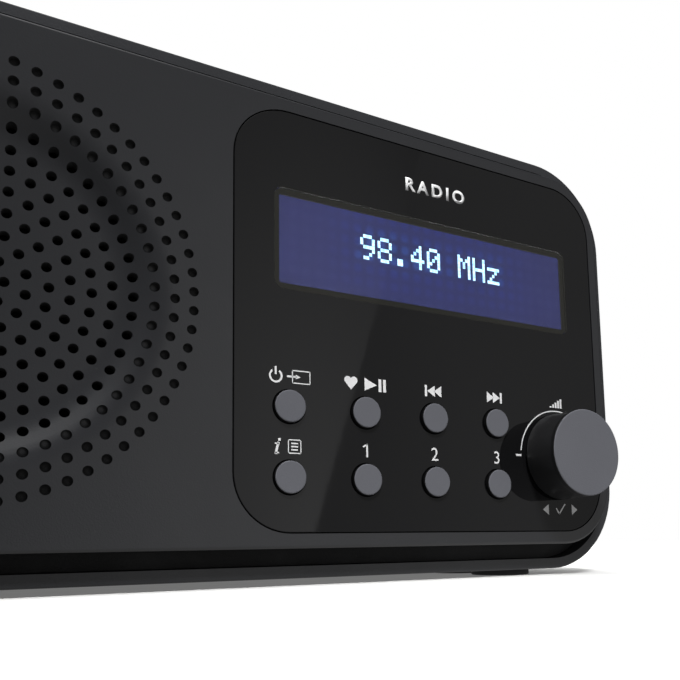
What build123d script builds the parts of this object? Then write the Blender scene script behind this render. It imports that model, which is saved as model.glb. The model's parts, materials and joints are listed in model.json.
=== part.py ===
from build123d import *
import os
from math import atan, cos, pi, radians, sin, tan

os.makedirs("parts", exist_ok=True)

# Tabletop radio. X runs across the front, Y runs from front to back, Z is up. The origin is on the
# table, under the middle of the whole object. "Depth" below means distance behind the cover's face.

# ---------------------------------------------------------------- overall sizes
COVER_W = 200.7          # front cover, outline
COVER_H = 98.1
COVER_R = 15.6
COVER_T = 3.2
SHELL_MARGIN = 6.3       # the rear shell stands out this far round the cover
SHELL_D = 47.0
REVEAL = 5.2             # the cover's face stands in front of the shell's rim
FOOT_H = 1.5

# ---------------------------------------------------------------- rear shell
RIM_WALL = 2.6
BACK_WALL = 2.8
BACK_ROUND = 10.0
RIM_ROUND = 0.5
LEDGE_W = 2.2
LEDGE_T = 2.0
POST_R = 4.5
POST_WEB = 3.8
HEAD_WELL_R = 3.5

# ---------------------------------------------------------------- front cover
COVER_ROUND = 0.7
NECK_INSET = 5.0
NECK_WALL = 1.8
NECK_BACK = 14.0
FRAME_DEPTH = 9.0
FRAME_T = 2.5
CASE_BOSS_R = 3.6
CASE_SCREW_INSET_X = 12.35
CASE_SCREW_INSET_Z = 11.05
MIDDLE_SCREW_GAP = 3.65  # from the control panel's edge to the middle pair of case screws

# ---------------------------------------------------------------- loudspeaker grille
GRILLE_INSET = 49.0      # grille centre from the cover's left edge
RING_COUNT = 11
RING_PITCH = 3.72
THROUGH_RINGS = 8        # the rings outside these are blind dimples
HOLE_R = 0.96
BLIND_DEPTH = 0.9
DISH_LIP_R = 34.4
DISH_FLOOR_R = 28.6
DISH_WALL_DEPTH = 3.4
DISH_DEPTH = 4.8
DISH_LIP_ROUND = 9.0
DISH_FLOOR_ROUND = 10.0
DISH_T = 2.2

# ---------------------------------------------------------------- control panel and display
PANEL_W = 99.5
PANEL_H = 91.5
PANEL_R = 12.2
PANEL_T = 1.5
PANEL_MARGIN = 3.2       # from the panel to the cover's right edge
PANEL_GROOVE = 0.25
PANEL_ROUND = 0.15
DISPLAY_W = 82.0
DISPLAY_H = 22.75
DISPLAY_R = 2.2
DISPLAY_DROP = 28.7      # display centre below the panel's top edge
WINDOW_T = 0.8
BEZEL_T = 0.35
BEZEL_BORDER_X = 1.3
BEZEL_BORDER_Z = 1.5
BEZEL_HOLE_R = 0.6
LCD_T = 2.0
BACKLIGHT_WALL = 1.0
BACKLIGHT_INSET = 1.2

# ---------------------------------------------------------------- buttons
BUTTON_R = 3.45
BUTTON_GAP = 0.3
BUTTON_OUT = 1.0
BUTTON_ROUND = 0.3
BUTTON_TRAVEL = 0.4
BUTTON_COLUMNS = 4
COLUMN_PITCH = 17.92
ROW_PITCH = 14.8
FIRST_COLUMN_INSET = 11.9   # from the panel's left edge
LOWER_ROW_RISE = 11.3       # from the panel's lower edge
FLANGE_R = 4.4
FLANGE_T = 1.0
STEM_R = 1.6
SWITCH_SIZE = 6.0
SWITCH_H = 3.4
SWITCH_HOLE_DEPTH = 1.8
BOARD_DEPTH = 10.4          # front of the control board
BOARD_T = 1.6
BOARD_CORNER_GAP = 1.0

# ---------------------------------------------------------------- knob and rotary encoder
KNOB_R = 10.9
KNOB_TOP_R = 10.65
KNOB_OUT = 10.2             # knob face in front of the cover's face
KNOB_LIFT = 0.9             # air under the knob's skirt
KNOB_FACE_T = 1.2
KNOB_WALL = 1.7
KNOB_ROUND = 0.35
KNOB_HUB_R = 4.6
KNOB_INSET = 14.3           # knob axis from the panel's right edge
KNOB_TRAVEL = 0.5
SHAFT_R = 3.0
BUSHING_R = 3.5
ENCODER_SIZE = 12.4
ENCODER_DEPTH = 4.2
ENCODER_WALL = 1.0
ROTOR_R = 4.7

# ---------------------------------------------------------------- loudspeaker
SPEAKER_R = 39.5
SPEAKER_EAR_R = 4.2
SPEAKER_EAR_PITCH = 31.0    # ear centres to each side of the axis, in X and in Z
SPEAKER_DEPTH = 8.05        # front of the loudspeaker's flange
FLANGE_PLATE_T = 1.2
CONE_SEAT_R = 31.5
BASKET_SEAT_DROP = 3.2
BASKET_WALL = 1.0
BASKET_DEPTH = 24.0
BASKET_END_R = 18.0
BASKET_WINDOW_W = 22.0
BASKET_WINDOW_H = 6.5
MAGNET_R = 20.0
MAGNET_BORE_R = 9.5
MAGNET_T = 8.0
WASHER_R = 18.0
WASHER_T = 1.5
POLE_R = 6.2
YOKE_T = 2.0
COIL_R = 6.9
COIL_WALL = 0.3
CONE_T = 0.5
CONE_NECK = 5.0             # cone's neck in front of the basket's back
CAP_H = 3.0
CAP_T = 0.45
SPIDER_LIFT = 2.2
SPIDER_T = 0.5
ROLL_R = 2.0
ROLL_T = 0.4
ROLL_INSET = 3.25
ROLL_LIP = 1.2
CLOTH_T = 0.4
GASKET_W = 2.2

# ---------------------------------------------------------------- main board and wiring
MAIN_DEPTH = 20.0
MAIN_H = 58.0
MAIN_POST_R = 3.0
MAIN_POST_Z = 24.0
SHIELD_W = 34.0
SHIELD_H = 26.0
SHIELD_T = 5.0
CAPACITOR_R = 4.0
CAPACITOR_H = 9.0
WIRE_R = 0.6
RIBBON_W = 20.0
RIBBON_T = 0.4

# ---------------------------------------------------------------- battery bay
CELL_R = 7.25               # AA cell
CELL_L = 50.5
CELL_COUNT = 4
CELL_PLAY = 0.25            # to each side of a cell
CONTACT_ROOM = 3.75         # at each end of a cell
BAY_D = 16.0
TRAY_WALL = 1.6
DOOR_T = 2.0
DOOR_GAP = 0.35
DOOR_LAP = 1.2              # the door's opening is this much larger than the bay, all round
HINGE_R = 1.6
HINGE_PIN_R = 0.88
HINGE_PIN_L = 2.5
HINGE_FIT = 0.07
LUG_L = 2.75
CONTACT_T = 0.4

# ---------------------------------------------------------------- rear sockets
SOCKET_INSET = 16.65        # from the shell's right side
PHONES_R = 1.8
PHONES_DEPTH = 13.0
PHONES_NOSE_R = 2.95
PHONES_RISE = 6.0           # above the middle of the shell
POWER_DROP = 10.0           # below the middle of the shell
POWER_W = 3.6
POWER_H = 9.4
POWER_WALL = 0.4
POWER_DEPTH = 6.5

# ---------------------------------------------------------------- aerial
REBATE_D = 11.0
REBATE_H = 12.0
REBATE_WALL = 2.4
AERIAL_INSET = 24.0         # swivel axis from the shell's right side
AERIAL_BACK = 5.6           # rod axis in front of the shell's back
AERIAL_DROP = 6.2           # rod axis below the shell's top
SWIVEL_R = 2.2
SWIVEL_HEAD_R = 5.4
SWIVEL_HEAD_T = 1.4
BUSH_R = 3.4
BUSH_NOSE_L = 1.5           # inside the rebate's wall
FORK_R = 4.2
FORK_CHEEK_T = 2.6
TONGUE_T = 2.9
TONGUE_R = 2.9
PIVOT_R = 1.0
TUBE_R = 3.0                # outer radius of the first section
TUBE_WALL = 0.5
TUBE_COUNT = 4
TUBE_L = 150.0
TUBE_STEP = 1.0             # each section's end stands out of the one round it
TUBE_TRAVEL = 125.0
TIP_L = 6.0

# ---------------------------------------------------------------- fits and small hardware
SLIP = 0.15                 # between fixed pieces that slide together on assembly
RUN_FIT = 0.05              # radial play of a turning or sliding fit
SEAT_FIT = 0.02             # radial play of a fixed round fit
CASE_SCREW_R = 1.5
CASE_SCREW_HEAD_R = 3.0
CASE_SCREW_HEAD_H = 2.0
CASE_SCREW_L = 10.0
SMALL_SCREW_R = 1.1
SMALL_SCREW_HEAD_R = 2.2
SMALL_SCREW_HEAD_H = 1.4
SMALL_SCREW_L = 5.0
SMALL_BOSS_R = 2.8
SPEAKER_BOSS_R = 3.4
RECESS_W = 0.7
RECESS_D = 0.8
FOOT_R = 7.5
FOOT_X = 75.0
FOOT_FRONT_INSET = 10.0
FOOT_BACK_INSET = 18.5
FOOT_POCKET = 0.5

# ---------------------------------------------------------------- places that follow from the sizes
SHELL_W = COVER_W + 2 * SHELL_MARGIN
SHELL_H = COVER_H + 2 * SHELL_MARGIN
SHELL_R = COVER_R + SHELL_MARGIN
BACK = REVEAL + SHELL_D
Y_FACE = (KNOB_OUT - BACK) / 2
TOP = FOOT_H + SHELL_H
MID_Z = FOOT_H + SHELL_H / 2
GRILLE_X = GRILLE_INSET - COVER_W / 2
PANEL_X = COVER_W / 2 - PANEL_MARGIN - PANEL_W / 2
PANEL_LEFT = PANEL_X - PANEL_W / 2
DISPLAY_Z = MID_Z + PANEL_H / 2 - DISPLAY_DROP
LOWER_ROW_Z = MID_Z - PANEL_H / 2 + LOWER_ROW_RISE
UPPER_ROW_Z = LOWER_ROW_Z + ROW_PITCH
KNOB_X = PANEL_X + PANEL_W / 2 - KNOB_INSET
KNOB_Z = (LOWER_ROW_Z + UPPER_ROW_Z) / 2
BAY_W = CELL_L + 2 * CONTACT_ROOM
BAY_H = CELL_COUNT * 2 * (CELL_R + CELL_PLAY)
BAY_FLOOR = BACK - BACK_WALL - BAY_D
CASE_SCREW_X = COVER_W / 2 - CASE_SCREW_INSET_X
CASE_SCREW_Z = COVER_H / 2 - CASE_SCREW_INSET_Z
SOCKET_X = SHELL_W / 2 - SOCKET_INSET
AERIAL_X = SHELL_W / 2 - AERIAL_INSET
AERIAL_DEPTH = BACK - AERIAL_BACK
AERIAL_Z = TOP - AERIAL_DROP
REBATE_FRONT = BACK - REBATE_D
REBATE_FLOOR = TOP - REBATE_H


def export(name, shape):
    export_step(shape, "parts/" + name + ".step")


def group(shapes):
    return Compound(children=[solid for shape in shapes for solid in shape.solids()])


def face_plane(depth):
    """Plane across the radio at a depth behind the cover's face."""
    return Plane.XZ.offset(-(Y_FACE + depth))


def slab(w, h, r, x, z, near, far):
    """Rounded rectangle seen from the front, filled between two depths."""
    outline = RectangleRounded(w, h, r) if r > 0 else Rectangle(w, h)
    return extrude(face_plane(far) * Pos(x, z) * outline, far - near)


def rod(r, x, z, near, far):
    """Round bar along Y between two depths."""
    return extrude(face_plane(far) * Pos(x, z) * Circle(r), far - near)


def tube(outer, inner, x, z, near, far):
    return rod(outer, x, z, near, far) - rod(inner, x, z, near - 1, far + 1)


def spin(points, x, z):
    """Closed outline of (radius, depth) points turned about an axis along Y."""
    profile = make_face(Polyline(*points, close=True))
    return Pos(x, Y_FACE, z) * revolve(profile, Axis.Y)


def bar_x(r, x0, x1, depth, z):
    """Round bar along X."""
    start = Plane(origin=(x0, Y_FACE + depth, z), x_dir=(0, 1, 0), z_dir=(1, 0, 0))
    return extrude(start * Circle(r), x1 - x0)


def front_edges(shape):
    return shape.faces().sort_by(Axis.Y)[0].edges()


def back_edges(shape):
    return shape.faces().sort_by(Axis.Y)[-1].edges()


def screw(x, z, head_depth, length, shank_r, head_r, head_h):
    """Pan-head screw driven from behind, its head seated at head_depth."""
    shank = rod(shank_r, x, z, head_depth - length, head_depth)
    head = rod(head_r, x, z, head_depth, head_depth + head_h)
    head = fillet(back_edges(head), head_h * 0.4)
    arm = head_r * 1.1
    top = head_depth + head_h
    recess = slab(arm, RECESS_W, 0, x, z, top - RECESS_D, top + 1)
    recess += slab(RECESS_W, arm, 0, x, z, top - RECESS_D, top + 1)
    return shank + head - recess


def case_screw_points():
    columns = (-CASE_SCREW_X, PANEL_LEFT - MIDDLE_SCREW_GAP, CASE_SCREW_X)
    return [(x, MID_Z + side * CASE_SCREW_Z) for x in columns for side in (-1, 1)]


def speaker_screw_points():
    reach = SPEAKER_EAR_PITCH
    return [(GRILLE_X + sx * reach, MID_Z + sz * reach) for sx in (-1, 1) for sz in (-1, 1)]


def board_screw_points():
    """Two between the button columns, two above the display."""
    left = PANEL_LEFT + FIRST_COLUMN_INSET + COLUMN_PITCH / 2
    right = left + COLUMN_PITCH * (BUTTON_COLUMNS - 2)
    above = DISPLAY_Z + DISPLAY_H / 2 + SMALL_BOSS_R + 2.5
    return [(left, KNOB_Z), (right, KNOB_Z), (left, above), (KNOB_X - 8, above)]


def main_post_points():
    left = PANEL_X - BAY_W / 2 - TRAY_WALL - MAIN_POST_R - 4.8
    right = PANEL_X + BAY_W / 2 + TRAY_WALL + MAIN_POST_R + 0.5
    return [(x, MID_Z + side * MAIN_POST_Z) for x in (left, right) for side in (-1, 1)]


def button_points():
    rows = (UPPER_ROW_Z, LOWER_ROW_Z)
    start = PANEL_LEFT + FIRST_COLUMN_INSET
    return [(start + i * COLUMN_PITCH, z) for z in rows for i in range(BUTTON_COLUMNS)]


# ================================================================ front cover
def dish_curve(shift, reach):
    """Half section of the grille's dish: flat lip, sloping wall and shallow floor."""
    slope = atan(DISH_WALL_DEPTH / (DISH_LIP_R - DISH_FLOOR_R))
    start = DISH_LIP_R + DISH_LIP_ROUND * tan(slope / 2) + reach
    corners = [
        (start, shift),
        (DISH_LIP_R, shift),
        (DISH_FLOOR_R, DISH_WALL_DEPTH + shift),
        (0, DISH_DEPTH + shift),
    ]
    return FilletPolyline(*corners, radius=(DISH_LIP_ROUND, DISH_FLOOR_ROUND)), start


def dish_solid(shift, base):
    """Solid of revolution between the dish curve and a flat base."""
    curve, start = dish_curve(shift, 0.5)
    rest = Polyline((0, DISH_DEPTH + shift), (0, base), (start, base), (start, shift))
    profile = make_face(curve + rest)
    return Pos(GRILLE_X, Y_FACE, MID_Z) * revolve(profile, Axis.Y)


def grille_points(ring):
    """Six holes per ring number; odd rings are turned by half a step."""
    count = 6 * ring
    radius = ring * RING_PITCH
    turn = (ring % 2) / 2
    angles = [2 * pi * (i + turn) / count for i in range(count)]
    return [(GRILLE_X + radius * cos(a), MID_Z + radius * sin(a)) for a in angles]


def surface_depth(radius):
    """Depth of the dish at a radius, without its rounded corners."""
    if radius >= DISH_LIP_R:
        return 0.0
    return DISH_WALL_DEPTH * min(1.0, (DISH_LIP_R - radius) / (DISH_LIP_R - DISH_FLOOR_R))


def grille_cutters():
    deep = DISH_DEPTH + DISH_T + 2
    cutters = [rod(HOLE_R, GRILLE_X, MID_Z, -1, deep)]
    for ring in range(1, RING_COUNT + 1):
        end = deep
        if ring > THROUGH_RINGS:
            end = surface_depth(ring * RING_PITCH) + BLIND_DEPTH
        cutters += [rod(HOLE_R, x, z, -1, end) for x, z in grille_points(ring)]
    return cutters


def make_front_cover():
    plate = slab(COVER_W, COVER_H, COVER_R, 0, MID_Z, 0, COVER_T)
    plate = fillet(front_edges(plate), COVER_ROUND)
    neck_w = COVER_W - 2 * NECK_INSET
    neck_h = COVER_H - 2 * NECK_INSET
    neck_r = COVER_R - NECK_INSET
    neck = slab(neck_w, neck_h, neck_r, 0, MID_Z, COVER_T - 0.5, NECK_BACK)
    bore = 2 * NECK_WALL
    neck -= slab(neck_w - bore, neck_h - bore, neck_r - NECK_WALL, 0, MID_Z, 0, NECK_BACK + 1)
    cover = plate + neck + dish_solid(DISH_T, COVER_T - 1.5)
    for x, z in case_screw_points():
        cover += rod(CASE_BOSS_R, x, z, COVER_T - 0.5, NECK_BACK)
    for x, z in speaker_screw_points():
        cover += rod(SPEAKER_BOSS_R, x, z, COVER_T - 0.5, SPEAKER_DEPTH)
    for x, z in board_screw_points():
        cover += rod(SMALL_BOSS_R, x, z, COVER_T - 0.5, BOARD_DEPTH)
    groove = 2 * PANEL_GROOVE
    pocket_r = PANEL_R + PANEL_GROOVE
    cover -= slab(PANEL_W + groove, PANEL_H + groove, pocket_r, PANEL_X, MID_Z, -1, PANEL_T)
    cover -= slab(DISPLAY_W, DISPLAY_H, DISPLAY_R, PANEL_X, DISPLAY_Z, -1, COVER_T + 1)
    cover -= dish_solid(0, -1)
    cutters = [rod(BUTTON_R + BUTTON_GAP, x, z, 0, COVER_T + 1) for x, z in button_points()]
    cutters += [rod(BUSHING_R + SLIP, KNOB_X, KNOB_Z, 0, COVER_T + 1)]
    pilot = CASE_SCREW_R + RUN_FIT
    well = NECK_BACK + SLIP + POST_WEB
    for x, z in case_screw_points():
        cutters += [rod(pilot, x, z, well - CASE_SCREW_L - 0.5, NECK_BACK + 1)]
    pilot = SMALL_SCREW_R + RUN_FIT
    for x, z in speaker_screw_points():
        tip = SPEAKER_DEPTH + FLANGE_PLATE_T - SMALL_SCREW_L
        cutters += [rod(pilot, x, z, tip - 0.3, SPEAKER_DEPTH + 1)]
    for x, z in board_screw_points():
        tip = BOARD_DEPTH + BOARD_T - SMALL_SCREW_L
        cutters += [rod(pilot, x, z, tip - 0.5, BOARD_DEPTH + 1)]
    cover -= cutters
    return cover - grille_cutters()


# ================================================================ rear shell
def make_mid_frame():
    """Black floor of the shadow gap, between the cover's neck and the shell."""
    play = 2 * (RIM_WALL + SLIP)
    far = FRAME_DEPTH + FRAME_T
    outer_r = SHELL_R - RIM_WALL - SLIP
    ring = slab(SHELL_W - play, SHELL_H - play, outer_r, 0, MID_Z, FRAME_DEPTH, far)
    inset = 2 * (NECK_INSET - SLIP)
    hole_r = COVER_R - NECK_INSET + SLIP
    hole = slab(COVER_W - inset, COVER_H - inset, hole_r, 0, MID_Z, FRAME_DEPTH - 1, far + 1)
    return ring - hole


def shell_outer():
    body = slab(SHELL_W, SHELL_H, SHELL_R, 0, MID_Z, REVEAL, BACK)
    body = fillet(back_edges(body), BACK_ROUND)
    return fillet(front_edges(body), RIM_ROUND)


def shell_cavity():
    wall = 2 * RIM_WALL
    far = BACK - BACK_WALL
    hollow = slab(SHELL_W - wall, SHELL_H - wall, SHELL_R - RIM_WALL, 0, MID_Z, REVEAL - 1, far)
    return fillet(back_edges(hollow), BACK_ROUND - BACK_WALL)


def door_opening():
    grow = 2 * DOOR_LAP
    return slab(BAY_W + grow, BAY_H + grow, 0, PANEL_X, MID_Z, BACK - BACK_WALL - 1, BACK + 1)


def hinge_z():
    return MID_Z - BAY_H / 2 - DOOR_LAP + DOOR_GAP + HINGE_R


def hinge_depth():
    return BACK - HINGE_R


def foot_points():
    rows = (REVEAL + FOOT_FRONT_INSET, BACK - FOOT_BACK_INSET)
    return [(sx * FOOT_X, Y_FACE + depth) for sx in (-1, 1) for depth in rows]


def make_rear_shell():
    outer = shell_outer()
    shell = outer - shell_cavity()
    wall = 2 * RIM_WALL
    ledge_near = FRAME_DEPTH + FRAME_T
    ledge_far = ledge_near + LEDGE_T
    inner_r = SHELL_R - RIM_WALL
    ledge = slab(SHELL_W - wall + 1, SHELL_H - wall + 1, inner_r, 0, MID_Z, ledge_near, ledge_far)
    hole = wall + 2 * LEDGE_W
    ledge -= slab(SHELL_W - hole, SHELL_H - hole, inner_r - LEDGE_W, 0, MID_Z, 0, BACK)
    shell += ledge
    span = SHELL_W + 2
    corner_low = REBATE_FLOOR - REBATE_WALL
    corner = slab(span, REBATE_H * 2, 0, 0, corner_low + REBATE_H, REBATE_FRONT - REBATE_WALL, BACK)
    shell += corner & outer
    for x, z in case_screw_points():
        shell += rod(POST_R, x, z, NECK_BACK + SLIP, BACK - 1)
    for x, z in main_post_points():
        shell += rod(MAIN_POST_R, x, z, MAIN_DEPTH + BOARD_T, BACK - 1)
    lug_x = BAY_W / 2 + TRAY_WALL + SLIP + LUG_L / 2
    lug_far = BACK - BACK_WALL + 0.5
    for side in (-1, 1):
        shell += slab(LUG_L, 5, 0, PANEL_X + side * lug_x, hinge_z(), lug_far - 3, lug_far)
    shell -= slab(span, REBATE_H * 2, 0, 0, REBATE_FLOOR + REBATE_H, REBATE_FRONT, BACK + 1)
    shell -= door_opening()
    cutters = []
    well = NECK_BACK + SLIP + POST_WEB
    for x, z in case_screw_points():
        cutters += [rod(HEAD_WELL_R, x, z, well, BACK + 1)]
        cutters += [rod(CASE_SCREW_R + SLIP, x, z, NECK_BACK - 1, well + 1)]
    for x, z in main_post_points():
        near = MAIN_DEPTH + BOARD_T
        cutters += [rod(SMALL_SCREW_R + RUN_FIT, x, z, near - 1, near + SMALL_SCREW_L)]
    reach = BAY_W / 2 + DOOR_LAP + HINGE_PIN_L + SLIP
    cutters += [bar_x(HINGE_PIN_R + HINGE_FIT, PANEL_X - reach, PANEL_X + reach, hinge_depth(), hinge_z())]
    cutters += [rod(PHONES_NOSE_R + SLIP, SOCKET_X, MID_Z + PHONES_RISE, BACK - BACK_WALL - 1, BACK + 1)]
    power_z = MID_Z - POWER_DROP
    play = 2 * SLIP
    cutters += [slab(POWER_W + play, POWER_H + play, 1.2, SOCKET_X, power_z, BACK - BACK_WALL - 1, BACK + 1)]
    cutters += [rod(BUSH_R + SEAT_FIT, AERIAL_X, AERIAL_Z, REBATE_FRONT - REBATE_WALL - 1, REBATE_FRONT + 1)]
    for x, y in foot_points():
        cutters += [Pos(x, y, FOOT_H) * Cylinder(FOOT_R + SEAT_FIT, 2 * FOOT_POCKET)]
    return shell - cutters


def make_feet():
    height = FOOT_H + FOOT_POCKET
    feet = []
    for x, y in foot_points():
        foot = Pos(x, y, height / 2) * Cylinder(FOOT_R, height)
        feet.append(fillet(foot.faces().sort_by(Axis.Z)[0].edges(), 0.4))
    return group(feet)


# ================================================================ control panel and display
def make_control_panel():
    panel = slab(PANEL_W, PANEL_H, PANEL_R, PANEL_X, MID_Z, 0, PANEL_T)
    panel = fillet(front_edges(panel), PANEL_ROUND)
    cutters = [rod(BUTTON_R + BUTTON_GAP, x, z, -1, PANEL_T + 1) for x, z in button_points()]
    cutters += [rod(BUSHING_R + SLIP, KNOB_X, KNOB_Z, -1, PANEL_T + 1)]
    cutters += [slab(DISPLAY_W, DISPLAY_H, DISPLAY_R, PANEL_X, DISPLAY_Z, -1, PANEL_T + 1)]
    return panel - cutters


def display_slab(inset, near, far):
    w = DISPLAY_W - 2 * inset
    h = DISPLAY_H - 2 * inset
    return slab(w, h, DISPLAY_R - inset, PANEL_X, DISPLAY_Z, near, far)


def make_display():
    bezel_far = WINDOW_T + BEZEL_T
    lcd_far = bezel_far + LCD_T
    export("display_window", display_slab(SEAT_FIT, 0, WINDOW_T))
    hole_w = DISPLAY_W - 2 * BEZEL_BORDER_X
    hole_h = DISPLAY_H - 2 * BEZEL_BORDER_Z
    bezel = display_slab(SLIP, WINDOW_T, bezel_far)
    bezel -= slab(hole_w, hole_h, BEZEL_HOLE_R, PANEL_X, DISPLAY_Z, 0, bezel_far + 1)
    export("display_bezel", bezel)
    export("lcd_cell", display_slab(SLIP, bezel_far, lcd_far))
    tray = display_slab(BACKLIGHT_INSET, lcd_far, BOARD_DEPTH)
    inner = BACKLIGHT_INSET + BACKLIGHT_WALL
    tray -= display_slab(inner, lcd_far - 1, BOARD_DEPTH - BACKLIGHT_WALL)
    export("lcd_backlight", tray)


def make_control_board():
    left = PANEL_LEFT - MIDDLE_SCREW_GAP + CASE_BOSS_R + BOARD_CORNER_GAP
    right = COVER_W / 2 - NECK_INSET - NECK_WALL - 1.0
    low = MID_Z - COVER_H / 2 + NECK_INSET + NECK_WALL + 1.0
    high = board_screw_points()[2][1] + SMALL_BOSS_R + 1.5
    far = BOARD_DEPTH + BOARD_T
    w = right - left
    h = high - low
    board = slab(w, h, 2, (left + right) / 2, (low + high) / 2, BOARD_DEPTH, far)
    corner_x = right - (CASE_SCREW_X - CASE_BOSS_R - BOARD_CORNER_GAP)
    corner_z = CASE_SCREW_Z - CASE_BOSS_R - BOARD_CORNER_GAP
    cutters = [slab(2 * corner_x, 2 * COVER_H, 0, right, MID_Z + side * (corner_z + COVER_H), 0, far + 1)
               for side in (-1, 1)]
    screw_hole = SMALL_SCREW_R + SLIP
    cutters += [rod(screw_hole, x, z, 0, far + 1) for x, z in board_screw_points()]
    return board - cutters


BUTTON_NAMES = (
    "button_power", "button_favourite", "button_previous", "button_next",
    "button_info", "button_preset_1", "button_preset_2", "button_preset_3",
)


def make_button(x, z):
    """Cap, retaining flange behind the cover, and the stem that works the switch."""
    flange_near = COVER_T + 0.3
    cap = rod(BUTTON_R, x, z, -BUTTON_OUT, flange_near + 0.2)
    cap = fillet(front_edges(cap), BUTTON_ROUND)
    flange = rod(FLANGE_R, x, z, flange_near, flange_near + FLANGE_T)
    stem_tip = BOARD_DEPTH - SWITCH_H + SWITCH_HOLE_DEPTH - BUTTON_TRAVEL - 0.4
    return cap + flange + rod(STEM_R, x, z, flange_near, stem_tip)


def make_switches():
    near = BOARD_DEPTH - SWITCH_H
    switches = []
    for x, z in button_points():
        body = slab(SWITCH_SIZE, SWITCH_SIZE, 0.5, x, z, near, BOARD_DEPTH)
        switches.append(body - rod(STEM_R + SLIP, x, z, near - 1, near + SWITCH_HOLE_DEPTH))
    return group(switches)


# ================================================================ knob and encoder
def make_knob():
    body_near = -KNOB_LIFT
    body_far = -(KNOB_OUT - KNOB_FACE_T)
    roof = body_far + KNOB_WALL
    hub_bore = SHAFT_R + SEAT_FIT
    blind = body_far + 0.8
    outline = [
        (KNOB_R - KNOB_WALL, body_near), (KNOB_R, body_near), (KNOB_TOP_R, body_far),
        (0, body_far), (0, blind), (hub_bore, blind), (hub_bore, body_near),
        (KNOB_HUB_R, body_near), (KNOB_HUB_R, roof), (KNOB_R - KNOB_WALL, roof),
    ]
    export("knob_body", spin(outline, KNOB_X, KNOB_Z))
    face = rod(KNOB_TOP_R, KNOB_X, KNOB_Z, -KNOB_OUT, body_far)
    export("knob_face", fillet(front_edges(face), KNOB_ROUND))
    shaft_end = BOARD_DEPTH - ENCODER_WALL - KNOB_TRAVEL - 0.3
    export("encoder_shaft", rod(SHAFT_R, KNOB_X, KNOB_Z, blind + 0.1, shaft_end))


def make_encoder():
    bore = SHAFT_R + RUN_FIT
    inner_near = ENCODER_DEPTH + ENCODER_WALL
    inner_far = BOARD_DEPTH - ENCODER_WALL
    size = ENCODER_SIZE
    body = slab(size, size, 0.6, KNOB_X, KNOB_Z, ENCODER_DEPTH, BOARD_DEPTH)
    body -= rod(ROTOR_R + 0.3, KNOB_X, KNOB_Z, inner_near, inner_far)
    body -= rod(bore, KNOB_X, KNOB_Z, 0, inner_near + 0.5)
    body += tube(BUSHING_R, bore, KNOB_X, KNOB_Z, 0.3, ENCODER_DEPTH)
    export("encoder_body", body)
    export("encoder_rotor", tube(ROTOR_R, bore, KNOB_X, KNOB_Z, inner_near + 0.3, inner_far - 0.4))


# ================================================================ loudspeaker
def roll_arc(mid_r, radius, depth, angles):
    """Points along the half roll of the surround."""
    return [(mid_r + radius * cos(radians(a)), depth - radius * sin(radians(a))) for a in angles]


def surround_outline(seat_r, seat):
    """Flat lips on the basket and on the cone, with a half roll between them."""
    mid_r = seat_r - ROLL_INSET
    inner_r = mid_r - ROLL_R - ROLL_LIP
    front = seat - ROLL_T
    outline = [(seat_r - SLIP, seat), (seat_r - SLIP, front)]
    outline += roll_arc(mid_r, ROLL_R, front, range(0, 181, 20))
    outline += [(inner_r, front), (inner_r, seat)]
    return outline + roll_arc(mid_r, ROLL_R - ROLL_T, seat, range(180, -1, -20))


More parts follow.
